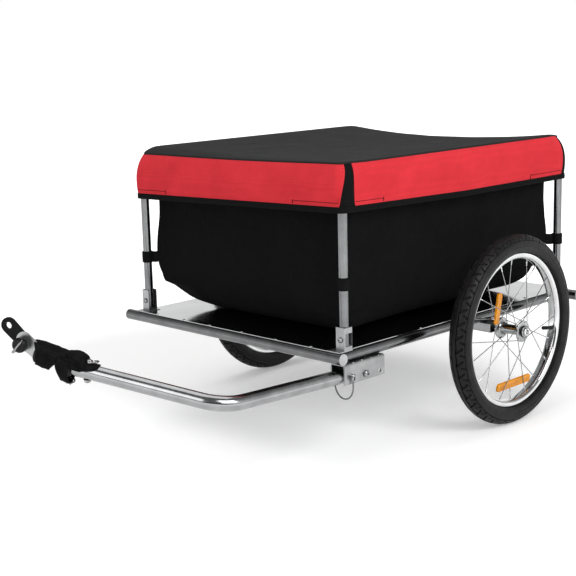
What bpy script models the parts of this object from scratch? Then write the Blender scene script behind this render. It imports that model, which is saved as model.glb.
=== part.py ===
"""Two-wheeled bike cargo trailer with folding gates, a hung bag and a rain cover.

Metres, +X forward, +Y to the left, +Z up. The pieces are laid out over a point on the ground below
the wheel axis, and the last lines move the whole so that its box stands centred over the origin.
"""
import math

import bmesh
import bpy
from mathutils import Euler, Matrix, Vector

# Clearances
GAP = 0.0003
RUNNING = 0.0003

# Wheels
TYRE_R = 0.1975
WHEEL_FACETS = 32
TYRE_WIDTH = 0.045
TYRE_WALL = 0.0035
TYRE_OUTER_ARC_DEG = 124.0
TYRE_INNER_ARC_DEG = 112.0
RIM_R = 0.160
RIM_WIDTH = 0.025
RIM_LIP = 0.0015
RIM_LIP_DEPTH = 0.006
RIM_WELL_DEPTH = 0.009
RIM_DEPTH = 0.0125
RIM_SIDE_SLOPE = 0.0027
RIM_WELL_HALF = 0.005
TRACK = 0.706
HUB_LENGTH = 0.066
HUB_BARREL_R = 0.010
HUB_END_R = 0.0125
HUB_FLANGE_R = 0.0225
HUB_FLANGE_THICK = 0.003
HUB_FLANGE_SPACING = 0.052
DUST_CAP_R = 0.016
SPOKES = 20
SPOKE_R = 0.0009
SPOKE_HOLE_R = 0.019
SPOKE_LEAD_DEG = 72.0
SPOKE_SPREAD = 0.0016
SPOKE_RIM_OFFSET = 0.0025
SPOKE_PHASE_DEG = 0.0
NIPPLE_R = 0.0019
NIPPLE_LENGTH = 0.012
SPOKE_SHORT_OF_RIM = 0.0008
VALVE_R = 0.003
VALVE_LENGTH = 0.034
VALVE_BASE_DEPTH = 0.002
VALVE_ANGLE_DEG = 171.0
LOW_REFLECTOR_SIZE = (0.115, 0.017, 0.006)
LOW_REFLECTOR_FROM_RIM = 0.0465
LOW_REFLECTOR_AT = (-0.003, RIM_R - LOW_REFLECTOR_FROM_RIM)
LOW_REFLECTOR_TURN_DEG = (-10.5, 0.0, 0.0)
HIGH_REFLECTOR_SIZE = (0.018, 0.065, 0.005)
HIGH_REFLECTOR_AT = (0.0255, -0.0455)
HIGH_REFLECTOR_TURN_DEG = (0.0, -10.0, -11.5)

# Stub axles and the channel that carries them
AXLE_R = 0.006
AXLE_CAP_R = 0.0085
AXLE_CAP_LENGTH = 0.005
AXLE_IN_SOCKET = 0.062
BUTTON_R = 0.0042
BUTTON_STANDS_OUT = 0.002
BUTTON_IN_BORE = 0.006
BUTTON_TRAVEL = 0.002
SOCKET_WALL = 0.0017
SOCKET_LENGTH = 0.074
BEAM_WIDTH = 0.040
BEAM_SHEET = 0.002
BEAM_END_SETBACK = 0.007

# Ladder frame
FRAME_TUBE_R = 0.011
FRAME_TUBE_WALL = 0.0015
FRAME_ABOVE_AXLE = 0.0195
FRAME_Z = TYRE_R + FRAME_ABOVE_AXLE
SIDE_Y = 0.283
FRONT_CROSS_X = 0.458
REAR_CROSS_X = -0.293
CROSS_SHORT_END = 0.018
CROSS_LONG_END = 0.044
PLUG_CAP = 0.002
PLUG_STEM = 0.012
FLOOR_SHEET = 0.0012
FLOOR_OVERLAP = 0.004

# Post brackets, hinge bolts and gates
POST_R = 0.009
POST_WALL = 0.0012
FRONT_POST_X = 0.436
REAR_POST_X = -0.271
PIVOT_ABOVE_FRAME = 0.033
GATE_HEIGHT = 0.347
GATE_PIVOT_Z = FRAME_Z + PIVOT_ABOVE_FRAME
GATE_TOP_Z = FRAME_Z + GATE_HEIGHT
GATE_BEND_R = 0.040
POST_FOOT = 0.012
POST_SIDE_CLEARANCE = 0.0004
BRACKET_SHEET = 0.0016
BRACKET_HEIGHT = 0.0563
BRACKET_TOP_Z = FRAME_Z + BRACKET_HEIGHT
BRACKET_DEPTH = 0.022
BRACKET_CORNER_R = 0.0020
FOOT_PLATE = 0.002
FOOT_REACH = 0.026
FOOT_INNER_REACH = 0.010
FOOT_HOLE_R = 0.0025
FOOT_HOLE_FROM_POST = (0.0185, 0.010)
WINDOW_HALF_HEIGHT = 0.0125
HINGE_BOLT_R = 0.003
BOLT_CLEARANCE = 0.0003
BOLT_HEAD_R = 1.75
BOLT_HEAD_HEIGHT = 1.3
NUT_CORNER_R = 1.85
TIP_CHAMFER = 0.3

# Cargo bag
BAG_CLOTH = 0.002
BAG_SETBACK = 0.016
BAG_LEVELS = (
    (0.0, 0.098, 0.080, 0.155, 0.050),
    (0.010, 0.066, 0.052, 0.195, 0.060),
    (0.030, 0.034, 0.032, 0.228, 0.066),
    (0.070, 0.008, 0.012, 0.254, 0.062),
    (0.114, 0.0, 0.003, 0.2675, 0.036),
    (0.180, 0.0, 0.004, 0.2675, 0.062),
    (0.245, 0.002, 0.006, 0.2675, 0.076),
)
BAG_TOP_CORNER_R = 0.040
BAG_RIM_SAG = 0.020
SLEEVE_CLOTH = 0.0015
SLEEVE_SHORT_OF_BEND = 0.008
LOOP_HEIGHT_ABOVE_PIVOT = 0.095
LOOP_WEBBING_WIDTH = 0.024
LOOP_WEBBING = 0.0015

# Rain cover
COVER_CLOTH = 0.002
COVER_SIDE_EASE = 0.004
COVER_END_EASE = 0.006
COVER_CORNER_R = 0.013
COVER_SKIRT = 0.074
COVER_HEM_Z = GATE_TOP_Z - COVER_SKIRT
COVER_HEM_TILT = 0.007
COVER_HEM_HEIGHT = 0.009
COVER_EDGE_ROUND = 0.006
COVER_BULGE = 0.003
COVER_SAG_MIDDLE = 0.006
COVER_SAG_FRONT = 0.0066
COVER_SAG_REAR = 0.015
COVER_DROP_FRONT = (0.013, 0.001)
COVER_DROP_REAR = (0.014, 0.006)
SAG_SHAPE = 1.6
COVER_LONG_STEPS = 6
COVER_SHORT_STEPS = 4
COVER_CORNER_STEPS = 3
COVER_SEAM = 0.0008
COVER_RINGS = (0.86, 0.64, 0.33)
SKIRT_RISES = (0.0, 0.33, 0.67, 1.0)

# Tow-arm receiver, cross bolt and lock pin
RECEIVER_Y = 0.2815
RECEIVER_SHEET = 0.003
RECEIVER_SIDE_CLEARANCE = 0.0005
RECEIVER_CORNER_R = 0.004
RECEIVER_REAR_PAST_HOLE = 0.014
RECEIVER_FRONT_PAST_PIN = 0.020
RECEIVER_DROP = 0.0505
RECEIVER_BOTTOM_Z = FRAME_Z - RECEIVER_DROP
ARM_BOLT_X = 0.395
ARM_BOLT_DROP = 0.039
ARM_BOLT_Z = FRAME_Z - ARM_BOLT_DROP
ARM_HOLE_SPACING = 0.040
ARM_BOLT_R = 0.004
LOCK_PIN_R = 0.004
LOCK_PIN_HEAD_R = 0.0065
LOCK_PIN_HEAD = 0.0068
LOCK_PIN_TIP = 0.006
LOCK_BAIL_R = 0.0013
LOCK_BAIL_DROP = 0.042
LOCK_BAIL_BEND_R = 0.007

# Tow arm
ARM_R = 0.014
ARM_WALL = 0.0015
ARM_PAST_BOLT = 0.016
ARM_PITCH_DEG = 2.0
ARM_STRAIGHT = 0.344
ARM_YAW_DEG = 62.05
ARM_RISE_DEG = 10.9
ARM_BEND_R = 0.070
ARM_SECOND = 0.280

# Flexible coupling and safety strap
COUPLING_RISE_DEG = 20.5
COUPLING_R = 0.0195
COUPLING_FRONT = 0.0755
COUPLING_SETBACK = 0.0042
COUPLING_EDGE = 0.002
COUPLING_PLUG = 0.022
COUPLING_BENDS_AT = 0.038
STRAP_CLOTH = 0.0025
STRAP_WIDTH = 0.027
STRAP_SLACK = 0.0095
STRAP_RING_AT = 0.0145
STRAP_HUMP = 0.0085
STRAP_HUMP_LINE = ((-0.0145, 0.005, 0.03, -0.9), (-0.010, 0.0012, 0.2, -0.4), (-0.003, 0.0, 0.2, 0.0),
                   (0.004, 0.0012, 0.2, 0.3), (0.010, 0.0050, 0.045, 0.4))
STRAP_LAP_AT = (0.016, 0.022)
STRAP_TAB_END = 0.042
STRAP_BOLT_BACK = 0.0255
STRAP_TAB_START = 0.018
STRAP_BOLT_R = 0.003

# Hitch fork, pin and eye plate
FORK_BASE = 0.004
FORK_HEIGHT = 0.022
FORK_CHEEK = 0.003
FORK_CHEEK_R = 0.0125
FORK_THROAT = 0.0232
FORK_PIN_RAISED = 0.006
FORK_SHANK_R = 0.006
FORK_SHANK = 0.012
EYE_PLATE = 0.005
EYE_PLATE_R = 0.0145
EYE_HEEL_R = 0.0130
EYE_SPACING = 0.042
EYE_RISE_DEG = 25.3
EYE_HOLE_R = 0.00625
EYE_LAND_R = 0.0120
EYE_LAND_RAISED = 0.0004
HITCH_PIN_R = 0.004
HITCH_COLLAR_R = 0.0068
HITCH_PIN_TIP = 0.010
KNOB_R = 0.0135
KNOB_HEIGHT = 0.012
KNOB_EDGE = 0.0027
KNOB_STANDOFF = 0.008
KNOB_BORE_DEPTH = 0.007
HITCH_BAIL_R = 0.0016
HITCH_BAIL_TURN_DEG = 68.0
HITCH_BAIL_REACH = 0.0165
HITCH_BAIL_PIVOT = 0.0112
HITCH_BAIL_BEND_R = 0.0022

# Places that follow from the sizes above
FRAME_TOP_Z = FRAME_Z + FRAME_TUBE_R + GAP
FRAME_BOTTOM_Z = FRAME_Z - FRAME_TUBE_R - GAP
FLOOR_TOP_Z = FRAME_TOP_Z + FLOOR_SHEET
WHEEL_Y = TRACK / 2
HUB_END = HUB_LENGTH / 2
SOCKET_R = AXLE_R + RUNNING + SOCKET_WALL
SOCKET_END_Y = WHEEL_Y - HUB_END - RUNNING
BEAM_BOTTOM_Z = TYRE_R - SOCKET_R - GAP - BEAM_SHEET
BRACKET_HALF = POST_R + POST_SIDE_CLEARANCE + BRACKET_SHEET
BRACKET_WEB_Y = SIDE_Y + POST_R + POST_SIDE_CLEARANCE + BRACKET_SHEET
BOX_MIDDLE_X = (FRONT_POST_X + REAR_POST_X) / 2
SLEEVE_R = (POST_R + GAP) / math.cos(math.pi / 10) + SLEEVE_CLOTH
RECEIVER_HALF = ARM_R + RECEIVER_SIDE_CLEARANCE + RECEIVER_SHEET
ARM_BORE_R = ARM_R - ARM_WALL
FORK_HALF_GAP = EYE_PLATE / 2 + GAP
FORK_HALF = FORK_HALF_GAP + FORK_CHEEK
UPWARD = Vector((0, 0, 1))
ALONG_X = (math.pi / 2, 0, math.pi / 2)

for old in list(bpy.data.objects):
    bpy.data.objects.remove(old, do_unlink=True)

parts = bpy.data.collections.new("bike_cargo_trailer")
cutters = bpy.data.collections.new("cutters")
bpy.context.scene.collection.children.link(parts)
bpy.context.scene.collection.children.link(cutters)


def material(name, colour, roughness, metallic=0.0):
    """A Principled material with the piece's own colour and finish."""
    made = bpy.data.materials.new(name)
    made.use_nodes = True
    shader = made.node_tree.nodes["Principled BSDF"]
    shader.inputs["Base Color"].default_value = (*colour, 1.0)
    shader.inputs["Roughness"].default_value = roughness
    shader.inputs["Metallic"].default_value = metallic
    made.diffuse_color = (*colour, 1.0)
    return made


GREY_STEEL = material("grey_steel", (0.42, 0.43, 0.44), 0.35, 0.9)
BRIGHT_STEEL = material("bright_steel", (0.78, 0.79, 0.80), 0.22, 1.0)
ZINC_STEEL = material("zinc_steel", (0.60, 0.61, 0.62), 0.38, 0.9)
POLISHED_SHEET = material("polished_sheet", (0.80, 0.81, 0.82), 0.12, 1.0)
BLACK_STEEL = material("black_steel", (0.03, 0.03, 0.03), 0.45, 0.6)
BLACK_CLOTH = material("black_cloth", (0.022, 0.022, 0.024), 0.9)
RED_CLOTH = material("red_cloth", (0.72, 0.045, 0.055), 0.85)
BLACK_WEBBING = material("black_webbing", (0.015, 0.015, 0.016), 0.95)
BLACK_RUBBER = material("black_rubber", (0.028, 0.028, 0.030), 0.75)
BLACK_PLASTIC = material("black_plastic", (0.02, 0.02, 0.02), 0.4)
GREY_PLASTIC = material("grey_plastic", (0.55, 0.55, 0.56), 0.5)
AMBER_PLASTIC = material("amber_plastic", (0.90, 0.33, 0.02), 0.15)


def empty(name, location=(0, 0, 0), rotation=(0, 0, 0), parent=None):
    """An axis that pieces hang on; it is not a piece itself."""
    made = bpy.data.objects.new(name, None)
    made.empty_display_size = 0.02
    made.location = location
    made.rotation_euler = rotation
    made.parent = parent
    parts.objects.link(made)
    return made


def add(name, data, finish, parent, location=(0, 0, 0), rotation=(0, 0, 0)):
    """Link a piece, give it its material and place it in its parent's frame."""
    made = bpy.data.objects.new(name, data)
    data.materials.append(finish)
    made.location = location
    made.rotation_euler = rotation
    made.parent = parent
    parts.objects.link(made)
    return made


def smooth(piece):
    """Shade a round piece smooth and keep its real edges sharp."""
    piece.data.shade_smooth()
    piece.data.set_sharp_from_angle(angle=math.radians(35))
    return piece


def combine(piece, helper, operation):
    """Cut a helper solid out of a piece, or weld it on, and put the helper away."""
    step = piece.modifiers.new(helper.name, "BOOLEAN")
    step.operation = operation
    step.solver = "EXACT"
    step.object = helper
    parts.objects.unlink(helper)
    cutters.objects.link(helper)
    helper.hide_render = True
    helper.display_type = "WIRE"


def cut(piece, helper):
    combine(piece, helper, "DIFFERENCE")


def weld(piece, helper):
    combine(piece, helper, "UNION")


def bevel(piece, width, segments=2):
    """Round a piece's sharp edges."""
    step = piece.modifiers.new("rounded edges", "BEVEL")
    step.width = width
    step.segments = segments
    step.limit_method = "ANGLE"
    step.angle_limit = math.radians(40)


def as_mesh(piece):
    """Replace a curve or a spun profile by its mesh, so that it can be cut and joined."""
    bpy.context.view_layer.update()
    graph = bpy.context.evaluated_depsgraph_get()
    mesh = bpy.data.meshes.new_from_object(piece.evaluated_get(graph))
    bm = bmesh.new()
    bm.from_mesh(mesh)
    bmesh.ops.remove_doubles(bm, verts=bm.verts, dist=0.000005)
    bmesh.ops.recalc_face_normals(bm, faces=bm.faces)
    bm.to_mesh(mesh)
    bm.free()
    name = piece.name
    made = bpy.data.objects.new(name + "_solid", mesh)
    made.parent = piece.parent
    made.matrix_world = piece.matrix_world
    parts.objects.link(made)
    bpy.data.objects.remove(piece, do_unlink=True)
    made.name = name
    return smooth(made)


def block(name, finish, parent, low, high):
    """A box between two corners."""
    low, high = Vector(low), Vector(high)
    mesh = bpy.data.meshes.new(name)
    bm = bmesh.new()
    bmesh.ops.create_cube(bm, size=1.0)
    bmesh.ops.scale(bm, vec=high - low, verts=bm.verts)
    bm.to_mesh(mesh)
    bm.free()
    return add(name, mesh, finish, parent, (low + high) / 2)


def rod(name, finish, parent, radius, start, end, sides=18):
    """A round or many-sided bar between two points."""
    start, end = Vector(start), Vector(end)
    mesh = bpy.data.meshes.new(name)
    bm = bmesh.new()
    bmesh.ops.create_cone(bm, cap_ends=True, segments=sides, radius1=radius, radius2=radius,
                          depth=(end - start).length)
    bm.to_mesh(mesh)
    bm.free()
    turn = UPWARD.rotation_difference(end - start).to_euler()
    return smooth(add(name, mesh, finish, parent, (start + end) / 2, turn))


def turned(name, finish, parent, profile, steps=16, location=(0, 0, 0), rotation=(0, 0, 0), ring=False):
    """Spin a profile of (radius, height) about +Z; a ring's profile closes on itself."""
    mesh = bpy.data.meshes.new(name)
    bm = bmesh.new()
    corners = [bm.verts.new((radius, 0, height)) for radius, height in profile]
    for first, second in zip(corners, corners[1:]):
        bm.edges.new((first, second))
    if ring:
        bm.edges.new((corners[-1], corners[0]))
    bm.to_mesh(mesh)
    bm.free()
    made = add(name, mesh, finish, parent, location, rotation)
    spin = made.modifiers.new("spin", "SCREW")
    spin.steps = steps
    spin.render_steps = steps
    spin.use_merge_vertices = True
    spin.merge_threshold = 0.00001
    return as_mesh(made)


def arc(centre, radius, start_deg, end_deg, steps):
    """Points of a flat arc."""
    angles = [math.radians(start_deg + (end_deg - start_deg) * i / steps) for i in range(steps + 1)]
    return [(centre[0] + radius * math.cos(a), centre[1] + radius * math.sin(a)) for a in angles]


def bent_path(corners, radius, steps=5):
    """A path through corner points with each inner corner bent to a radius."""
    corners = [Vector(corner) for corner in corners]
    path = [corners[0]]
    for before, corner, after in zip(corners, corners[1:], corners[2:]):
        incoming = (corner - before).normalized()
        outgoing = (after - corner).normalized()
        turn = incoming.angle(outgoing)
        centre = corner + (outgoing - incoming).normalized() * (radius / math.cos(turn / 2))
        start = corner - incoming * (radius * math.tan(turn / 2)) - centre
        axis = incoming.cross(outgoing).normalized()
        path += [centre + Matrix.Rotation(turn * i / steps, 3, axis) @ start for i in range(steps + 1)]
    return path + [corners[-1]]


def wires(name, finish, parent, paths, radius, resolution=2, widths=None):
    """Round wires or bars along paths, with closed ends, as one mesh."""
    curve = bpy.data.curves.new(name, "CURVE")
    curve.dimensions = "3D"
    curve.bevel_depth = radius
    curve.bevel_resolution = resolution
    curve.use_fill_caps = True
    for path in paths:
        spline = curve.splines.new("POLY")
        spline.points.add(len(path) - 1)
        for index, point in enumerate(path):
            spline.points[index].co = (*point, 1.0)
            spline.points[index].radius = widths[index] if widths else 1.0
    return as_mesh(add(name, curve, finish, parent))


def flat(name, finish, parent, outlines, thickness, location=(0, 0, 0), rotation=(0, 0, 0)):
    """A flat outline and its holes, thick by the same amount on both sides of its plane."""
    curve = bpy.data.curves.new(name, "CURVE")
    curve.dimensions = "2D"
    curve.fill_mode = "BOTH"
    curve.extrude = thickness / 2
    for outline in outlines:
        spline = curve.splines.new("POLY")
        spline.points.add(len(outline) - 1)
        for point, (x, y) in zip(spline.points, outline):
            point.co = (x, y, 0, 1.0)
        spline.use_cyclic_u = True
    return as_mesh(add(name, curve, finish, parent, location, rotation))


def channel_outline(half_width, depth, sheet, corner_r, steps=2):
    """A U in section: its web at the top, its legs hanging down by depth."""
    outer = arc((half_width - corner_r, -corner_r), corner_r, 0, 90, steps)
    outer += arc((corner_r - half_width, -corner_r), corner_r, 90, 180, steps)
    inner_half = half_width - sheet
    inner_r = corner_r - sheet
    inner = arc((inner_r - inner_half, -sheet - inner_r), inner_r, 180, 90, steps)
    inner += arc((inner_half - inner_r, -sheet - inner_r), inner_r, 90, 0, steps)
    return [(half_width, -depth), *outer, (-half_width, -depth), (-inner_half, -depth), *inner,
            (inner_half, -depth)]


def bolt(name, parent, radius, grip, location, rotation=(0, 0, 0)):
    """A round-headed bolt and its nut, with the head toward the local +Z end of what it clamps."""
    seat = grip / 2 + GAP
    head = BOLT_HEAD_HEIGHT * radius
    head_r = BOLT_HEAD_R * radius
    crown = TIP_CHAMFER * head_r
    end = -seat - head - crown
    made = turned(name, ZINC_STEEL, parent, [
        (0, seat + head), (head_r - crown, seat + head), (head_r, seat + head - crown), (head_r, seat),
        (radius, seat), (radius, end), (0, end)], 10, location, rotation)
    nut = rod(name + "_nut", ZINC_STEEL, made, NUT_CORNER_R * radius, (0, 0, -seat - head), (0, 0, -seat), 6)
    weld(made, nut)
    return made


def even_shares(steps):
    """Shares of a length where it is split into equal steps."""
    return [i / steps for i in range(1, steps)]


def rounded_rectangle(x_low, x_high, half_width, corner_r, long_shares, short_shares, corner_steps=3):
    """Level outline points, anticlockwise from the front right corner."""
    outline = []
    for centre, start, shares in (
            ((x_high - corner_r, corner_r - half_width), -90, short_shares),
            ((x_high - corner_r, half_width - corner_r), 0, long_shares),
            ((x_low + corner_r, half_width - corner_r), 90, short_shares),
            ((x_low + corner_r, corner_r - half_width), 180, long_shares)):
        points = [Vector(point) for point in arc(centre, corner_r, start, start + 90, corner_steps)]
        outline.append((points, shares))
    level = []
    for (points, shares), (following, _) in zip(outline, outline[1:] + outline[:1]):
        level += points
        level += [points[-1].lerp(following[0], share) for share in shares]
    return level


def skin(name, finish, parent, rings, closed_ends=True):
    """A solid lofted through level rings of points, with its first and last ring filled."""
    mesh = bpy.data.meshes.new(name)
    bm = bmesh.new()
    made = [[bm.verts.new(point) for point in ring] for ring in rings]
    for low, high in zip(made, made[1:]):
        for i in range(len(low)):
            j = (i + 1) % len(low)
            bm.faces.new((low[i], low[j], high[j], high[i]))
    if closed_ends:
        bm.faces.new(list(reversed(made[0])))
        bm.faces.new(made[-1])
    bmesh.ops.recalc_face_normals(bm, faces=bm.faces)
    bm.to_mesh(mesh)
    bm.free()
    return smooth(add(name, mesh, finish, parent))


def cloth(name, finish, parent, rows, thickness, around=False, keep=None, centre=None):
    """A sheet through rows of points, thickened away from its outer face."""
    mesh = bpy.data.meshes.new(name)
    bm = bmesh.new()
    made = [[bm.verts.new(point) for point in row] for row in rows]
    columns = len(rows[0])
    for row, (low, high) in enumerate(zip(made, made[1:])):
        for i in range(columns if around else columns - 1):
            if keep is None or keep(row, i):
                j = (i + 1) % columns
                bm.faces.new((low[i], low[j], high[j], high[i]))
    if centre is not None:
        top = bm.verts.new(centre)
        for i in range(columns):
            bm.faces.new((made[-1][i], made[-1][(i + 1) % columns], top))
    bmesh.ops.delete(bm, geom=[vert for vert in bm.verts if not vert.link_faces], context="VERTS")
    bm.to_mesh(mesh)
    bm.free()
    sheet = smooth(add(name, mesh, finish, parent))
    step = sheet.modifiers.new("cloth thickness", "SOLIDIFY")
    step.thickness = thickness
    step.offset = -1
    step.use_even_offset = True
    return sheet


def clear_of(radius, sides):
    """Radius of a many-sided bore whose flats keep the given distance from its middle."""
    return radius / math.cos(math.pi / sides)


def polar(radius, degrees, height=0.0):
    """A point of the wheel's frame from its radius, angle and height."""
    angle = math.radians(degrees)
    return Vector((radius * math.cos(angle), radius * math.sin(angle), height))


def build_frame(base):
    """Ladder frame: two cross tubes with end plugs and two side tubes coped to them."""
    reach = {1: (SIDE_Y + CROSS_LONG_END, SIDE_Y + CROSS_SHORT_END),
             -1: (SIDE_Y + CROSS_SHORT_END, SIDE_Y + CROSS_LONG_END)}
    bore_r = FRAME_TUBE_R - FRAME_TUBE_WALL
    for end, (place, x) in {1: ("front", FRONT_CROSS_X), -1: ("rear", REAR_CROSS_X)}.items():
        name = place + "_cross_tube"
        right, left = reach[end]
        tube = rod(name, GREY_STEEL, base, FRAME_TUBE_R, (x, PLUG_CAP + GAP - right, FRAME_Z),
                   (x, left - PLUG_CAP - GAP, FRAME_Z))
        cut(tube, rod(name + "_bore", GREY_STEEL, base, bore_r, (x, -right, FRAME_Z), (x, left, FRAME_Z)))
        for side, side_name, length in ((1, "left", left), (-1, "right", right)):
            plug = [(0, 0), (FRAME_TUBE_R, 0), (FRAME_TUBE_R, -PLUG_CAP), (bore_r - GAP, -PLUG_CAP),
                    (bore_r - GAP, -PLUG_STEM), (0, -PLUG_STEM)]
            turned(f"{place}_{side_name}_plug", GREY_PLASTIC, base, plug, 16,
                   (x, side * length, FRAME_Z), (-side * math.pi / 2, 0, 0))
    for side, side_name in ((1, "left"), (-1, "right")):
        name = side_name + "_side_tube"
        y = side * SIDE_Y
        tube = rod(name, GREY_STEEL, base, FRAME_TUBE_R, (REAR_CROSS_X, y, FRAME_Z),
                   (FRONT_CROSS_X, y, FRAME_Z))
        cut(tube, rod(name + "_bore", GREY_STEEL, base, bore_r,
                      (REAR_CROSS_X - FRAME_TUBE_R, y, FRAME_Z), (FRONT_CROSS_X + FRAME_TUBE_R, y, FRAME_Z)))
        for place, x in (("front", FRONT_CROSS_X), ("rear", REAR_CROSS_X)):
            reach_y = 2 * FRAME_TUBE_R
            cut(tube, rod(f"{name}_{place}_cope", GREY_STEEL, base, FRAME_TUBE_R + GAP,
                          (x, y - reach_y, FRAME_Z), (x, y + reach_y, FRAME_Z)))


def build_floor(base):
    """Thin floor sheet on top of the tubes, notched round the four bracket feet."""
    front = FRONT_CROSS_X + FLOOR_OVERLAP
    rear = REAR_CROSS_X - FLOOR_OVERLAP
    half = SIDE_Y + FLOOR_OVERLAP
    notch_y = BRACKET_WEB_Y - BRACKET_DEPTH - FOOT_INNER_REACH - GAP
    front_notch = FRONT_POST_X - BRACKET_HALF - GAP
    rear_notch = REAR_POST_X + BRACKET_HALF + GAP
    outline = [(front_notch, half), (rear_notch, half), (rear_notch, notch_y), (rear, notch_y),
               (rear, -notch_y), (rear_notch, -notch_y), (rear_notch, -half), (front_notch, -half),
               (front_notch, -notch_y), (front, -notch_y), (front, notch_y), (front_notch, notch_y)]
    flat("floor_plate", POLISHED_SHEET, base, [outline], FLOOR_SHEET, (0, 0, FRAME_TOP_Z + FLOOR_SHEET / 2))


def build_bracket(base, place, end, post_x, side_name, side):
    """Bent bracket that a gate post hinges in, with its window and foot, and its hinge bolt."""
    name = f"{place}_{side_name}_bracket"
    foot_top = FRAME_TOP_Z + FOOT_PLATE
    height = BRACKET_TOP_Z - FRAME_TOP_Z
    web_y = side * BRACKET_WEB_Y
    turn = 0 if side > 0 else math.pi
    bracket = flat(name, ZINC_STEEL, base,
                   [channel_outline(BRACKET_HALF, BRACKET_DEPTH, BRACKET_SHEET, BRACKET_CORNER_R)],
                   height, (post_x, web_y, FRAME_TOP_Z + height / 2), (0, 0, turn))
    near_x, far_x = post_x - end * BRACKET_HALF, post_x + end * FOOT_REACH
    near_y = side * (BRACKET_WEB_Y - BRACKET_DEPTH - FOOT_INNER_REACH)
    weld(bracket, block(name + "_foot", ZINC_STEEL, base,
                        (min(near_x, far_x), min(near_y, web_y), FRAME_TOP_Z),
                        (max(near_x, far_x), max(near_y, web_y), foot_top)))
    window = POST_R + POST_SIDE_CLEARANCE
    middle_y = side * SIDE_Y
    beyond_y = 2 * web_y - middle_y
    cut(bracket, block(name + "_window", ZINC_STEEL, base,
                       (post_x - window, min(middle_y, beyond_y), GATE_PIVOT_Z - WINDOW_HALF_HEIGHT),
                       (post_x + window, max(middle_y, beyond_y), GATE_PIVOT_Z + WINDOW_HALF_HEIGHT)))
    cut(bracket, rod(name + "_bolt_hole", ZINC_STEEL, base, HINGE_BOLT_R + BOLT_CLEARANCE,
                     (post_x - 2 * BRACKET_HALF, middle_y, GATE_PIVOT_Z),
                     (post_x + 2 * BRACKET_HALF, middle_y, GATE_PIVOT_Z), 12))
    hole_x = post_x + end * FOOT_HOLE_FROM_POST[0]
    hole_y = side * (SIDE_Y - FOOT_HOLE_FROM_POST[1])
    cut(bracket, rod(name + "_foot_hole", ZINC_STEEL, base, FOOT_HOLE_R,
                     (hole_x, hole_y, FRAME_Z), (hole_x, hole_y, GATE_PIVOT_Z), 10))
    bolt(f"{place}_{side_name}_hinge_bolt", base, HINGE_BOLT_R, 2 * BRACKET_HALF,
         (post_x, middle_y, GATE_PIVOT_Z), (0, end * math.pi / 2, 0))


def build_gate(base, side_name, side):
    """Bent tube gate: two posts and a top rail in one, hinged at its feet."""
    name = side_name + "_gate"
    hinge = empty(name + "_hinge", (0, side * SIDE_Y, GATE_PIVOT_Z), parent=base)
    top = GATE_TOP_Z - GATE_PIVOT_Z

    def path(past_foot):
        foot = -POST_FOOT - past_foot
        return bent_path([(FRONT_POST_X, 0, foot), (FRONT_POST_X, 0, top), (REAR_POST_X, 0, top),
                          (REAR_POST_X, 0, foot)], GATE_BEND_R, 4)

    gate = wires(name, GREY_STEEL, hinge, [path(0)], POST_R, 5)
    cut(gate, wires(name + "_bore", GREY_STEEL, hinge, [path(POST_FOOT)], POST_R - POST_WALL, 2))
    for place, x in (("front", FRONT_POST_X), ("rear", REAR_POST_X)):
        cut(gate, rod(f"{name}_{place}_bolt_hole", GREY_STEEL, hinge, HINGE_BOLT_R + BOLT_CLEARANCE,
                      (x - 2 * POST_R, 0, 0), (x + 2 * POST_R, 0, 0), 10))


def bag_ring(level, inset):
    """One level of the bag: its rise, setbacks front and rear, half width and corner radius."""
    rise, front_back, rear_back, half, corner = level
    floor_z = FLOOR_TOP_Z + GAP
    outline = rounded_rectangle(REAR_POST_X + BAG_SETBACK + rear_back + inset,
                                FRONT_POST_X - BAG_SETBACK - front_back - inset,
                                half - inset, corner - inset, even_shares(3), even_shares(3))
    return [(x, y, floor_z + max(rise, inset)) for x, y in outline]


def bag_rim(inset):
    """The bag's mouth: level with the rails along the sides and sagging across both ends."""
    half = SIDE_Y - POST_R - 2 * GAP
    outline = rounded_rectangle(REAR_POST_X + BAG_SETBACK + inset, FRONT_POST_X - BAG_SETBACK - inset,
                                half - inset, BAG_TOP_CORNER_R - inset, even_shares(3), even_shares(3))
    return [(x, y, GATE_TOP_Z - BAG_RIM_SAG * (1 - min(1.0, abs(y) / (half - BAG_TOP_CORNER_R)) ** 2))
            for x, y in outline]


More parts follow.
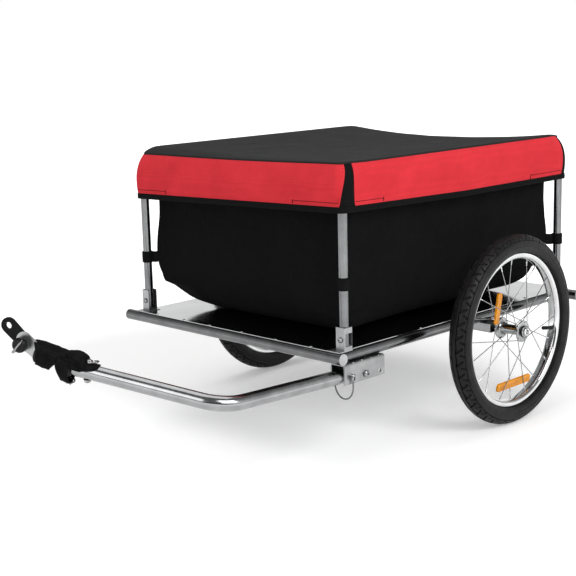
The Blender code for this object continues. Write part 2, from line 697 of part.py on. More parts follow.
def build_bag(base):
    """Open cargo bag hung by sleeves on both rails and held by webbing loops on the four posts."""
    outside = [bag_ring(level, 0) for level in BAG_LEVELS] + [bag_rim(0)]
    inside = [bag_ring(level, BAG_CLOTH) for level in BAG_LEVELS] + [bag_rim(BAG_CLOTH)]
    bag = skin("cargo_bag", BLACK_CLOTH, base, outside + inside[::-1])
    sleeve_front = FRONT_POST_X - GATE_BEND_R - SLEEVE_SHORT_OF_BEND
    sleeve_rear = REAR_POST_X + GATE_BEND_R + SLEEVE_SHORT_OF_BEND
    loop_z = GATE_PIVOT_Z + LOOP_HEIGHT_ABOVE_PIVOT
    loop_low, loop_high = loop_z - LOOP_WEBBING_WIDTH / 2, loop_z + LOOP_WEBBING_WIDTH / 2
    _, front_back, rear_back, half, corner = BAG_LEVELS[4]
    corner_inset = corner * (1 - math.sqrt(0.5)) + BAG_CLOTH / 2
    bore_r = clear_of(POST_R + GAP, 10)
    tab_half = LOOP_WEBBING_WIDTH / 2 - GAP
    bores = []
    for side, side_name in ((1, "left"), (-1, "right")):
        y = side * SIDE_Y
        weld(bag, rod(side_name + "_sleeve", BLACK_CLOTH, base, SLEEVE_R, (sleeve_rear, y, GATE_TOP_Z),
                      (sleeve_front, y, GATE_TOP_Z), 10))
        bores.append(rod(side_name + "_sleeve_bore", BLACK_CLOTH, base, bore_r,
                         (sleeve_rear - GAP, y, GATE_TOP_Z), (sleeve_front + GAP, y, GATE_TOP_Z), 10))
        for end, place, post_x, back in ((1, "front", FRONT_POST_X, front_back),
                                         (-1, "rear", REAR_POST_X, rear_back)):
            name = f"{place}_{side_name}_loop"
            weld(bag, rod(name, BLACK_WEBBING, base, bore_r + LOOP_WEBBING, (post_x, y, loop_low),
                          (post_x, y, loop_high), 10))
            corner_at = Vector((post_x - end * (BAG_SETBACK + back + corner_inset),
                                side * (half - corner_inset), loop_z))
            away = corner_at - Vector((post_x, y, loop_z))
            tab = block(name + "_tab", BLACK_WEBBING, base, (0, -LOOP_WEBBING / 2, -tab_half),
                        (away.length, LOOP_WEBBING / 2, tab_half))
            tab.location = (corner_at + Vector((post_x, y, loop_z))) / 2
            tab.rotation_euler = (0, 0, math.atan2(away.y, away.x))
            weld(bag, tab)
            bores.append(rod(name + "_bore", BLACK_WEBBING, base, bore_r,
                             (post_x, y, loop_low - POST_R), (post_x, y, loop_high + POST_R), 10))
    for bore in bores:
        cut(bag, bore)


def cover_side_shares():
    """Where the long sides are divided: at both bends of the gate and evenly between them."""
    half_post = (FRONT_POST_X - REAR_POST_X) / 2
    straight = half_post + POST_R + COVER_END_EASE - COVER_CORNER_R
    bend = (straight - half_post + GATE_BEND_R) / (2 * straight)
    between = [0.0, *even_shares(COVER_LONG_STEPS - 2), 1.0]
    return [bend + (1 - 2 * bend) * share for share in between]


def cover_outline(inset):
    """The cover's outline seen from above."""
    return rounded_rectangle(REAR_POST_X - POST_R - COVER_END_EASE + inset,
                             FRONT_POST_X + POST_R + COVER_END_EASE - inset,
                             SIDE_Y + POST_R + COVER_SIDE_EASE - inset, COVER_CORNER_R - inset,
                             cover_side_shares(), even_shares(COVER_SHORT_STEPS), COVER_CORNER_STEPS)


def cover_height(x, y):
    """Height of the cover's top, which lies on the rails, sags between them and drops at both ends."""
    front = x > BOX_MIDDLE_X
    drop_right, drop_left = COVER_DROP_FRONT if front else COVER_DROP_REAR
    left_share = (y / SIDE_Y + 1) / 2
    past_middle = abs(x - BOX_MIDDLE_X)
    post = (FRONT_POST_X - REAR_POST_X) / 2
    end = post + POST_R + COVER_END_EASE
    past_bend = max(0.0, past_middle - (post - GATE_BEND_R)) / (end - post + GATE_BEND_R)
    drop = (drop_right + (drop_left - drop_right) * left_share) * past_bend ** 2
    sag_end = COVER_SAG_FRONT if front else COVER_SAG_REAR
    toward_end = max(0.0, past_middle - post / 2) / (end - post / 2)
    sag = COVER_SAG_MIDDLE + (sag_end - COVER_SAG_MIDDLE) * toward_end ** 2
    across = max(0.0, 1 - (y / SIDE_Y) ** 2) ** SAG_SHAPE
    top = GATE_TOP_Z + SLEEVE_R + GAP + COVER_CLOTH
    return top - drop - sag * across


def cover_hem(x, y):
    """Height of the seam between the cover's skirt and its hem."""
    forward = max(0.0, (x - BOX_MIDDLE_X) / (FRONT_POST_X - BOX_MIDDLE_X))
    return COVER_HEM_Z + COVER_HEM_TILT * forward * y / SIDE_Y


def skirt_point(outline_point, outward, rise):
    """A point of the skirt, rise 0 at the hem seam and 1 below the rounded top edge."""
    x, y = outline_point
    low, high = cover_hem(x, y), cover_height(x, y) - COVER_EDGE_ROUND
    bulge = COVER_BULGE * math.sin(math.pi * rise)
    return (x + outward[0] * bulge, y + outward[1] * bulge, low + (high - low) * rise)


def build_cover(base):
    """Rain cover: a black top, four red skirt panels and black hem with corner strips."""
    cover = empty("cover_lift", parent=base)
    outline = cover_outline(0)
    rounding = COVER_EDGE_ROUND
    rows = []
    for inset, sink in ((0, rounding - GAP), (0, 0.5 * rounding), (0.5 * rounding, 0)):
        rows.append([(x, y, cover_height(x, y) - sink) for x, y in cover_outline(inset)])
    inner = cover_outline(rounding)
    over_rail = SIDE_Y / (SIDE_Y + POST_R + COVER_SIDE_EASE - rounding)
    for share in (over_rail, *COVER_RINGS):
        scaled = [(BOX_MIDDLE_X + (x - BOX_MIDDLE_X) * share, y * share) for x, y in inner]
        rows.append([(x, y, cover_height(x, y)) for x, y in scaled])
    cloth("cover_top", BLACK_CLOTH, cover, rows, COVER_CLOTH, around=True,
          centre=(BOX_MIDDLE_X, 0, cover_height(BOX_MIDDLE_X, 0)))

    long_shares, short_shares = cover_side_shares(), even_shares(COVER_SHORT_STEPS)
    spans = (("front", short_shares, (1, 0)), ("left", long_shares, (0, 1)),
             ("rear", short_shares, (-1, 0)), ("right", long_shares, (0, -1)))
    strip_columns = set()
    column = 0
    for place, shares, outward in spans:
        strip_columns.update(range(column, column + COVER_CORNER_STEPS))
        column += COVER_CORNER_STEPS
        ends = [outline[column], outline[(column + len(shares) + 1) % len(outline)]]
        trim = (ends[1] - ends[0]).normalized() * COVER_SEAM
        start, finish = ends[0] + trim, ends[1] - trim
        panel = []
        for rise in SKIRT_RISES:
            row = []
            for share in [0.0, *shares, 1.0]:
                x, y, z = skirt_point(start.lerp(finish, share), outward, rise)
                row.append((x, y, z + (GAP if rise == 0 else 0)))
            panel.append(row)
        cloth(f"cover_{place}_panel", RED_CLOTH, cover, panel, COVER_CLOTH)
        column += len(shares) + 1

    rows = [[(x, y, cover_hem(x, y) - COVER_HEM_HEIGHT) for x, y in outline]]
    for rise in SKIRT_RISES:
        rows.append([skirt_point(point, (0, 0), rise) for point in outline])
    cloth("cover_trim", BLACK_CLOTH, cover, rows, COVER_CLOTH, around=True,
          keep=lambda row, i: row == 0 or i in strip_columns)


def spoke_paths():
    """Crossed spokes: half from each flange, leaning forward and backward in turn."""
    paths = []
    rim_inner = RIM_R - RIM_DEPTH
    for index in range(SPOKES):
        flange = 1 if index % 2 == 0 else -1
        lean = 1 if (index // 2) % 2 == 0 else -1
        rim_angle = SPOKE_PHASE_DEG + index * 360 / SPOKES
        hub_angle = rim_angle + lean * SPOKE_LEAD_DEG
        middle = flange * HUB_FLANGE_SPACING / 2
        face = middle + lean * SPOKE_SPREAD
        start = polar(SPOKE_HOLE_R, hub_angle, middle)
        elbow = polar(SPOKE_HOLE_R, hub_angle, face)
        end = polar(rim_inner - SPOKE_SHORT_OF_RIM, rim_angle, flange * SPOKE_RIM_OFFSET)
        along = (end - elbow).normalized()
        paths.append([start, elbow, end - along * NIPPLE_LENGTH, end])
    return paths


def add_reflector(name, spin, size, at, turn_deg, outboard):
    """A reflector whose face lies on the spokes of one flange that cross it."""
    turn = Euler([math.radians(degrees) for degrees in turn_deg])
    frame = Matrix.Translation((*at, 0)) @ turn.to_matrix().to_4x4()
    samples = 60
    heights = []
    for _, elbow, _, end in spoke_paths()[0 if outboard > 0 else 1::2]:
        for i in range(samples + 1):
            point = frame.inverted() @ elbow.lerp(end, i / samples)
            if abs(point.x) <= size[0] / 2 and abs(point.y) <= size[1] / 2:
                heights.append(outboard * point.z)
    middle = min(heights, default=HUB_FLANGE_SPACING / 2) - SPOKE_R - GAP - size[2] / 2
    half_size = Vector(size) / 2
    reflector = block(name, AMBER_PLASTIC, spin, -half_size, half_size)
    reflector.location = frame @ Vector((0, 0, outboard * middle))
    reflector.rotation_euler = turn
    bevel(reflector, size[2] / 5, 1)


def build_wheel(base, side_name, side):
    """Laced wheel on a stub axle that slides out when its button is pressed."""
    slide = empty(side_name + "_axle_slide", (0, side * WHEEL_Y, TYRE_R), (-side * math.pi / 2, 0, 0), base)
    spin = empty(side_name + "_wheel_spin", parent=slide)
    cap_top = HUB_END + RUNNING + AXLE_CAP_LENGTH
    bore_floor = cap_top - BUTTON_IN_BORE - BUTTON_TRAVEL - GAP
    axle_end = -HUB_END - RUNNING - AXLE_IN_SOCKET
    bore_r = BUTTON_R + RUNNING
    axle_tip, cap_edge = TIP_CHAMFER * AXLE_R, TIP_CHAMFER * AXLE_CAP_LENGTH
    button_edge = BUTTON_STANDS_OUT / 2
    turned(side_name + "_axle", BRIGHT_STEEL, slide, [
        (0, bore_floor), (bore_r, bore_floor), (bore_r, cap_top), (AXLE_CAP_R - cap_edge, cap_top),
        (AXLE_CAP_R, cap_top - cap_edge), (AXLE_CAP_R, HUB_END + RUNNING),
        (AXLE_R, HUB_END + RUNNING), (AXLE_R, axle_end + axle_tip), (AXLE_R - axle_tip, axle_end),
        (0, axle_end)])
    press = empty(side_name + "_button_press", (0, 0, cap_top), parent=slide)
    turned(side_name + "_axle_button", BRIGHT_STEEL, press, [
        (0, BUTTON_STANDS_OUT), (BUTTON_R - button_edge, BUTTON_STANDS_OUT),
        (BUTTON_R, BUTTON_STANDS_OUT - button_edge), (BUTTON_R, -BUTTON_IN_BORE), (0, -BUTTON_IN_BORE)], 16)

    flange_out = (HUB_FLANGE_SPACING + HUB_FLANGE_THICK) / 2
    flange_in = (HUB_FLANGE_SPACING - HUB_FLANGE_THICK) / 2
    waist = flange_in - HUB_FLANGE_THICK
    hub = turned(side_name + "_hub", BRIGHT_STEEL, spin, [
        (HUB_END_R, HUB_END), (DUST_CAP_R, HUB_END - HUB_FLANGE_THICK / 2), (DUST_CAP_R, flange_out),
        (HUB_FLANGE_R, flange_out), (HUB_FLANGE_R, flange_in), (HUB_BARREL_R, waist),
        (HUB_BARREL_R, -waist), (HUB_FLANGE_R, -flange_in), (HUB_FLANGE_R, -flange_out),
        (HUB_END_R, -flange_out), (HUB_END_R, -HUB_END), (AXLE_R + RUNNING, -HUB_END),
        (AXLE_R + RUNNING, HUB_END)], ring=True)
    thick = NIPPLE_R / SPOKE_R
    weld(hub, wires(side_name + "_spokes", BRIGHT_STEEL, spin, spoke_paths(), SPOKE_R, 0,
                    [1, 1, 1, thick]))

    half = RIM_WIDTH / 2
    bed = RIM_R - RIM_LIP_DEPTH
    well = RIM_R - RIM_WELL_DEPTH
    inner = RIM_R - RIM_DEPTH
    rim_side = [(inner + RIM_SIDE_SLOPE, half), (RIM_R, half), (RIM_R, half - RIM_LIP),
                (bed, half - RIM_LIP), (well, RIM_WELL_HALF)]
    rim_profile = [(inner, 0)] + rim_side + [(r, -z) for r, z in reversed(rim_side)]
    rim = turned(side_name + "_rim", BRIGHT_STEEL, spin, rim_profile, WHEEL_FACETS, ring=True)
    cut(rim, rod(side_name + "_valve_hole", BRIGHT_STEEL, spin, VALVE_R + GAP,
                 polar(inner - RIM_DEPTH, VALVE_ANGLE_DEG), polar(RIM_R, VALVE_ANGLE_DEG), 10))
    stem_base = well + VALVE_BASE_DEPTH
    rod(side_name + "_valve_stem", BLACK_RUBBER, spin, VALVE_R, polar(stem_base, VALVE_ANGLE_DEG),
        polar(stem_base - VALVE_BASE_DEPTH - (well - inner) - VALVE_LENGTH, VALVE_ANGLE_DEG), 10)

    round_r = TYRE_WIDTH / 2
    crown = TYRE_R - round_r
    bead = half - RIM_LIP - GAP
    seat = bed + GAP
    outer_arc = arc((crown, 0), round_r, TYRE_OUTER_ARC_DEG, 0, 4)
    inner_arc = arc((crown, 0), round_r - TYRE_WALL, 0, TYRE_INNER_ARC_DEG, 2)
    over_rim = RIM_R + 2 * GAP
    tyre_side = [(seat, bead), (over_rim, bead)] + outer_arc
    bore_side = inner_arc + [(over_rim, bead - TYRE_WALL), (seat, bead - TYRE_WALL)]
    profile = tyre_side + [(r, -z) for r, z in reversed(tyre_side[:-1])]
    profile += [(r, -z) for r, z in reversed(bore_side)] + bore_side[1:]
    turned(side_name + "_tyre", BLACK_RUBBER, spin, profile, WHEEL_FACETS, ring=True)

    add_reflector(side_name + "_lower_reflector", spin, LOW_REFLECTOR_SIZE, LOW_REFLECTOR_AT,
                  LOW_REFLECTOR_TURN_DEG, 1)
    add_reflector(side_name + "_upper_reflector", spin, HIGH_REFLECTOR_SIZE, HIGH_REFLECTOR_AT,
                  HIGH_REFLECTOR_TURN_DEG, -1)


def build_axle_beam(base):
    """Channel across the frame with a socket at each end for the stub axles."""
    half_length = SOCKET_END_Y - BEAM_END_SETBACK
    flat("axle_beam", ZINC_STEEL, base,
         [channel_outline(BEAM_WIDTH / 2, FRAME_BOTTOM_Z - BEAM_BOTTOM_Z, BEAM_SHEET, 2 * BEAM_SHEET)],
         2 * half_length, (0, 0, BEAM_BOTTOM_Z), (-math.pi / 2, 0, 0))
    for side, side_name in ((1, "left"), (-1, "right")):
        outer, inner = side * SOCKET_END_Y, side * (SOCKET_END_Y - SOCKET_LENGTH)
        socket = rod(side_name + "_axle_socket", ZINC_STEEL, base, SOCKET_R, (0, inner, TYRE_R),
                     (0, outer, TYRE_R))
        cut(socket, rod(side_name + "_socket_bore", ZINC_STEEL, base, AXLE_R + RUNNING,
                        (0, inner - side * GAP, TYRE_R), (0, outer + side * GAP, TYRE_R)))


def arm_point(distance):
    """A point of the tow arm's first stretch, by its distance ahead of the cross bolt."""
    pitch = math.radians(ARM_PITCH_DEG)
    return Vector((ARM_BOLT_X + distance * math.cos(pitch), RECEIVER_Y,
                   ARM_BOLT_Z + distance * math.sin(pitch)))


def build_receiver(base):
    """Folded receiver under the left side tube, the arm's cross bolt and the sliding lock pin."""
    pin = arm_point(ARM_HOLE_SPACING)
    spare = arm_point(-ARM_HOLE_SPACING)
    front, rear = pin.x + RECEIVER_FRONT_PAST_PIN, spare.x - RECEIVER_REAR_PAST_HOLE
    receiver = flat("tow_arm_receiver", ZINC_STEEL, base,
                    [channel_outline(RECEIVER_HALF, FRAME_BOTTOM_Z - RECEIVER_BOTTOM_Z, RECEIVER_SHEET,
                                     RECEIVER_CORNER_R)],
                    front - rear, ((front + rear) / 2, RECEIVER_Y, FRAME_BOTTOM_Z), ALONG_X)
    across = Vector((0, 2 * RECEIVER_HALF, 0))
    for name, centre, radius in (("bolt", arm_point(0), ARM_BOLT_R), ("pin", pin, LOCK_PIN_R),
                                 ("spare", spare, LOCK_PIN_R)):
        cut(receiver, rod(f"receiver_{name}_hole", ZINC_STEEL, base, radius + BOLT_CLEARANCE,
                          centre - across, centre + across, 12))
    bolt("arm_cross_bolt", base, ARM_BOLT_R, 2 * RECEIVER_HALF, arm_point(0), (-math.pi / 2, 0, 0))

    slide = empty("lock_pin_slide", pin, parent=base)
    seat = RECEIVER_HALF + GAP
    head_end = seat + LOCK_PIN_HEAD
    tip = -RECEIVER_HALF - LOCK_PIN_TIP
    point = TIP_CHAMFER * LOCK_PIN_R
    lock = turned("lock_pin", BRIGHT_STEEL, slide, [
        (0, head_end), (LOCK_PIN_HEAD_R - point, head_end), (LOCK_PIN_HEAD_R, head_end - point),
        (LOCK_PIN_HEAD_R, seat), (LOCK_PIN_R, seat), (LOCK_PIN_R, tip + point),
        (LOCK_PIN_R - point, tip), (0, tip)], rotation=(-math.pi / 2, 0, 0))
    slot = LOCK_BAIL_R + BOLT_CLEARANCE
    cut(lock, block("lock_pin_slot", BRIGHT_STEEL, slide, (-slot, seat + GAP, -2 * LOCK_PIN_HEAD_R),
                    (slot, head_end + LOCK_PIN_HEAD, slot + GAP)))
    pivot_y = seat + LOCK_PIN_HEAD / 2
    swing = empty("lock_bail_swing", (0, pivot_y, 0), parent=slide)
    tip_y = tip - 2 * GAP - LOCK_BAIL_R - pivot_y
    path = bent_path([(0, 0, LOCK_BAIL_R / 2), (0, 0, -LOCK_BAIL_DROP), (0, tip_y, -LOCK_BAIL_DROP),
                      (0, tip_y, 2 * LOCK_BAIL_R)], LOCK_BAIL_BEND_R, 4)
    wires("lock_pin_bail", BRIGHT_STEEL, swing, [path], LOCK_BAIL_R)


def build_arm(base):
    """Bent tow arm, bored for its cross bolt, lock pin and strap bolt; returns its end's frame."""
    yaw, rise = math.radians(ARM_YAW_DEG), math.radians(ARM_RISE_DEG)
    corner = arm_point(ARM_STRAIGHT)
    onward = Vector((math.cos(yaw) * math.cos(rise), -math.sin(yaw) * math.cos(rise), math.sin(rise)))
    end = corner + onward * ARM_SECOND
    arm = wires("tow_arm", BRIGHT_STEEL, base,
                [bent_path([arm_point(-ARM_PAST_BOLT), corner, end], ARM_BEND_R, 6)], ARM_R, 7)
    cut(arm, wires("tow_arm_bore", BRIGHT_STEEL, base,
                   [bent_path([arm_point(-ARM_PAST_BOLT - ARM_R), corner, end + onward * ARM_R],
                              ARM_BEND_R, 6)], ARM_BORE_R, 3))
    across = Vector((0, 2 * ARM_R, 0))
    for name, centre, radius in (("bolt", arm_point(0), ARM_BOLT_R),
                                 ("pin", arm_point(ARM_HOLE_SPACING), LOCK_PIN_R)):
        cut(arm, rod(f"arm_{name}_hole", BRIGHT_STEEL, base, radius + BOLT_CLEARANCE,
                     centre - across, centre + across, 12))
    arm_end = empty("arm_end", end, (0, -rise, -yaw), base)
    cut(arm, rod("arm_strap_bolt_hole", BRIGHT_STEEL, arm_end, STRAP_BOLT_R + BOLT_CLEARANCE,
                 (-STRAP_BOLT_BACK, 0, -2 * ARM_R), (-STRAP_BOLT_BACK, 0, 2 * ARM_R), 10))
    return arm_end


def build_strap(coupling, arm_end):
    """Safety strap: webbing slung round the coupling and bolted to the top of the arm."""
    inner_top = COUPLING_R + GAP
    inner_low = COUPLING_R + STRAP_SLACK
    half_height = (inner_top + inner_low) / 2
    half_width = math.sqrt((COUPLING_R + 4 * GAP) * half_height)
    middle = inner_top - half_height

    def ellipse(grown, steps=20):
        turns = [2 * math.pi * i / steps for i in range(steps)]
        across, up = half_width + grown, half_height + grown
        return [(across * math.cos(turn), middle + up * math.sin(turn)) for turn in turns]

    strap = flat("safety_strap", BLACK_WEBBING, coupling, [ellipse(STRAP_CLOTH), ellipse(0)], STRAP_WIDTH,
                 (STRAP_RING_AT, 0, 0), ALONG_X)
    tilt = math.radians(COUPLING_RISE_DEG - ARM_RISE_DEG)
    tab_r = ARM_R + 2 * GAP + STRAP_CLOTH
    ring_r = inner_top + STRAP_CLOTH
    tab_stations = [(-STRAP_TAB_END, tab_r), (-STRAP_BOLT_BACK, tab_r), (-STRAP_TAB_START, tab_r)]
    cosine, sine = math.cos(tilt), math.sin(tilt)
    stations = [(p * cosine + q * sine, q * cosine - p * sine, tab_r, tilt) for p, q in tab_stations]
    hump = ring_r + STRAP_HUMP
    stations += [(a, hump - fall, curl_r, lean) for a, fall, curl_r, lean in STRAP_HUMP_LINE]
    stations += [(a, ring_r + STRAP_CLOTH / 2, ring_r, 0.0) for a in STRAP_LAP_AT]
    rows = []
    for a, b, curl_r, lean in stations:
        row = []
        for i in range(-2, 3):
            turn = STRAP_WIDTH / 4 * i / curl_r
            sink = curl_r * (1 - math.cos(turn))
            row.append((a - sink * math.sin(lean), -curl_r * math.sin(turn), b - sink * math.cos(lean)))
        rows.append(row)
    weld(strap, cloth("strap_tail", BLACK_WEBBING, coupling, rows, STRAP_CLOTH))
    cut(strap, rod("strap_bolt_hole", BLACK_WEBBING, arm_end, STRAP_BOLT_R + BOLT_CLEARANCE,
                   (-STRAP_BOLT_BACK, 0, 0), (-STRAP_BOLT_BACK, 0, 2 * ARM_R), 10))
    grip = 2 * ARM_R + STRAP_CLOTH + 2 * GAP
    bolt("strap_bolt", arm_end, STRAP_BOLT_R, grip, (-STRAP_BOLT_BACK, 0, STRAP_CLOTH / 2 + GAP))


def build_hitch(base):
    """Flexible coupling, fork, hitch pin with knob and bail, and the swivelling eye plate."""
    arm_end = build_arm(base)
    coupling = empty("coupling", arm_end.location, parent=base)
    coupling.rotation_euler = (0, -math.radians(COUPLING_RISE_DEG), -math.radians(ARM_YAW_DEG))
    edge = COUPLING_EDGE
    socket_floor = COUPLING_FRONT - FORK_SHANK - GAP
    core = turned("flexible_coupling", BLACK_RUBBER, coupling, [
        (0, socket_floor), (FORK_SHANK_R + GAP, socket_floor), (FORK_SHANK_R + GAP, COUPLING_FRONT),
        (COUPLING_R - edge, COUPLING_FRONT), (COUPLING_R, COUPLING_FRONT - edge),
        (COUPLING_R, COUPLING_SETBACK + edge), (COUPLING_R - edge, COUPLING_SETBACK),
        (0, COUPLING_SETBACK)], 20, rotation=(0, math.pi / 2, 0))
    plug_r = ARM_BORE_R * math.cos(math.pi / 10) - GAP
    weld(core, rod("coupling_plug", BLACK_RUBBER, arm_end, plug_r, (-COUPLING_PLUG, 0, 0),
                   (2 * COUPLING_SETBACK, 0, 0), 16))
    build_strap(coupling, arm_end)

    bend = empty("coupling_bend", (COUPLING_BENDS_AT, 0, 0), parent=coupling)
    base_at = COUPLING_FRONT + GAP - COUPLING_BENDS_AT
    pin_at = Vector((base_at + FORK_BASE + FORK_THROAT, 0, FORK_PIN_RAISED))
    fork = block("hitch_fork", ZINC_STEEL, bend, (base_at, -FORK_HALF, -FORK_HEIGHT / 2),
                 (base_at + FORK_BASE, FORK_HALF, FORK_HEIGHT / 2))
    cheek = [(base_at + GAP, -FORK_HEIGHT / 2)]
    cheek += arc((pin_at.x, pin_at.z), FORK_CHEEK_R, -75, 105, 7) + [(base_at + GAP, FORK_HEIGHT / 2)]
    for side, side_name in ((1, "near"), (-1, "far")):
        weld(fork, flat(side_name + "_cheek", ZINC_STEEL, bend, [cheek], FORK_CHEEK,
                        (0, side * (FORK_HALF - FORK_CHEEK / 2), 0), (math.pi / 2, 0, 0)))
    weld(fork, rod("fork_shank", ZINC_STEEL, bend, FORK_SHANK_R, (base_at - FORK_SHANK, 0, 0),
                   (base_at + FORK_BASE / 2, 0, 0), 16))
    cut(fork, rod("fork_pin_hole", ZINC_STEEL, bend, HITCH_PIN_R + BOLT_CLEARANCE,
                  pin_at - Vector((0, 2 * FORK_HALF, 0)), pin_at + Vector((0, 2 * FORK_HALF, 0)), 12))

    swivel = empty("eye_swivel", pin_at, parent=bend)
    taper = math.degrees(math.asin((EYE_PLATE_R - EYE_HEEL_R) / EYE_SPACING))
    plate = arc((EYE_SPACING, 0), EYE_PLATE_R, -90 - taper, 90 + taper, 12)
    plate += arc((0, 0), EYE_HEEL_R, 90 + taper, 270 - taper, 8)
    pin_hole = arc((0, 0), HITCH_PIN_R + BOLT_CLEARANCE, 0, 330, 11)
    eye_plate = flat("hitch_eye_plate", BLACK_STEEL, swivel, [plate, pin_hole], EYE_PLATE,
                     rotation=(math.pi / 2, -math.radians(EYE_RISE_DEG), 0))
    eye_at = Matrix.Rotation(-math.radians(EYE_RISE_DEG), 3, "Y") @ Vector((EYE_SPACING, 0, 0))
    land = Vector((0, EYE_PLATE / 2 + EYE_LAND_RAISED, 0))
    weld(eye_plate, rod("eye_land", BLACK_STEEL, swivel, EYE_LAND_R, eye_at - land, eye_at + land, 24))
    cut(eye_plate, rod("eye_hole", BLACK_STEEL, swivel, EYE_HOLE_R, eye_at - 2 * land, eye_at + 2 * land, 18))

    slide = empty("hitch_pin_slide", pin_at, parent=bend)
    collar = FORK_HALF + GAP
    knob_back = collar + KNOB_STANDOFF
    knob_face = knob_back + KNOB_HEIGHT
    tip = -FORK_HALF - HITCH_PIN_TIP
    point = TIP_CHAMFER * HITCH_PIN_R
    turned("hitch_pin", ZINC_STEEL, slide, [
        (0, knob_back + KNOB_BORE_DEPTH - GAP), (HITCH_PIN_R, knob_back + KNOB_BORE_DEPTH - GAP),
        (HITCH_PIN_R, knob_back - GAP), (HITCH_COLLAR_R, knob_back - GAP), (HITCH_COLLAR_R, collar),
        (HITCH_PIN_R, collar), (HITCH_PIN_R, tip + point), (HITCH_PIN_R - point, tip), (0, tip)],
        rotation=(-math.pi / 2, 0, 0))
    knob = turned("hitch_pin_knob", BLACK_PLASTIC, slide, [
        (0, knob_face), (KNOB_R - KNOB_EDGE, knob_face), (KNOB_R, knob_face - KNOB_EDGE),
        (KNOB_R, knob_back + KNOB_EDGE / 2), (KNOB_R - KNOB_EDGE / 2, knob_back),
        (HITCH_PIN_R + GAP, knob_back), (HITCH_PIN_R + GAP, knob_back + KNOB_BORE_DEPTH),
        (0, knob_back + KNOB_BORE_DEPTH)], 18, rotation=(-math.pi / 2, 0, 0))

    turn = empty("hitch_bail_plane", rotation=(0, math.radians(HITCH_BAIL_TURN_DEG), 0), parent=slide)
    slot = HITCH_BAIL_R + BOLT_CLEARANCE
    depth = 2 * HITCH_BAIL_R
    cut(knob, block("knob_slot", BLACK_PLASTIC, turn, (-2 * KNOB_R, knob_face - depth - slot, -slot),
                    (slot - HITCH_BAIL_PIVOT, knob_face + KNOB_R, slot)))
    bail_pivot = knob_face - depth
    bail = empty("hitch_bail_swing", (-HITCH_BAIL_PIVOT, bail_pivot, 0), parent=turn)
    bar = depth + GAP + HITCH_BAIL_R
    reach = HITCH_BAIL_REACH + HITCH_BAIL_PIVOT
    keeper = tip - 2 * GAP - HITCH_BAIL_R - bail_pivot
    path = bent_path([(0, 0, 0), (0, bar, 0), (reach, bar, 0), (reach, keeper, 0),
                      (HITCH_BAIL_PIVOT + HITCH_PIN_R / 2, keeper, 0)], HITCH_BAIL_BEND_R, 3)
    wires("hitch_pin_bail", BRIGHT_STEEL, bail, [path], HITCH_BAIL_R)


def centre_over_origin(base):
    """Move the whole so that its box is centred over the origin and stands on the ground."""
    bpy.context.view_layer.update()
    graph = bpy.context.evaluated_depsgraph_get()
    corners = []
    for piece in parts.objects:
        if piece.type == "MESH":
            shape = piece.evaluated_get(graph)
            corners += [shape.matrix_world @ vert.co for vert in shape.data.vertices]
    low = [min(corner[i] for corner in corners) for i in range(3)]
    high = [max(corner[i] for corner in corners) for i in range(3)]
    base.location = (-(low[0] + high[0]) / 2, -(low[1] + high[1]) / 2, -low[2])


trailer = empty("trailer")
build_frame(trailer)
build_floor(trailer)
for part_side, part_side_name in ((1, "left"), (-1, "right")):
    build_bracket(trailer, "front", 1, FRONT_POST_X, part_side_name, part_side)
    build_bracket(trailer, "rear", -1, REAR_POST_X, part_side_name, part_side)
    build_gate(trailer, part_side_name, part_side)
    build_wheel(trailer, part_side_name, part_side)
build_axle_beam(trailer)
build_bag(trailer)
build_cover(trailer)
build_receiver(trailer)
build_hitch(trailer)
centre_over_origin(trailer)
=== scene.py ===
"""Looks of the two-wheeled bike cargo trailer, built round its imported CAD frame.

Sizes repeat part.py's, in metres. Pieces are laid out over the wheel axis and moved into the row
frame as they are made.
"""
import math

import bmesh
import bpy
from mathutils import Euler, Matrix, Vector, noise


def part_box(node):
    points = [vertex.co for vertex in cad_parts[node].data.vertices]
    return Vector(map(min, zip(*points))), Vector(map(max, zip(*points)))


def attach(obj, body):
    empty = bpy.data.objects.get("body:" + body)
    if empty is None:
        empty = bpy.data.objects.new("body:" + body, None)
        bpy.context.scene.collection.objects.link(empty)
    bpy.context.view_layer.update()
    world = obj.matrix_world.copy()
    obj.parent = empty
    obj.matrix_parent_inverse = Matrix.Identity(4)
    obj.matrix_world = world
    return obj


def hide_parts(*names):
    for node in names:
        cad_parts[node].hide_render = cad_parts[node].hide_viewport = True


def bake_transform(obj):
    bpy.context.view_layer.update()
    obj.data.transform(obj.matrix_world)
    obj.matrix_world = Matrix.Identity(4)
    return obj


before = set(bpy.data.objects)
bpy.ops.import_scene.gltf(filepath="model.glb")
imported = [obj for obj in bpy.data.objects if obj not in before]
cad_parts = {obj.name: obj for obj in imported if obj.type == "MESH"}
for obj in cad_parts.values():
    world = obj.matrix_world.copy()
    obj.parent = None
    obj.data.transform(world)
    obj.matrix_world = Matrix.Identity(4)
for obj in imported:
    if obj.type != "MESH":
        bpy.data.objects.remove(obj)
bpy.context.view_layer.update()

SCENE = bpy.context.scene
GAP = 0.0003

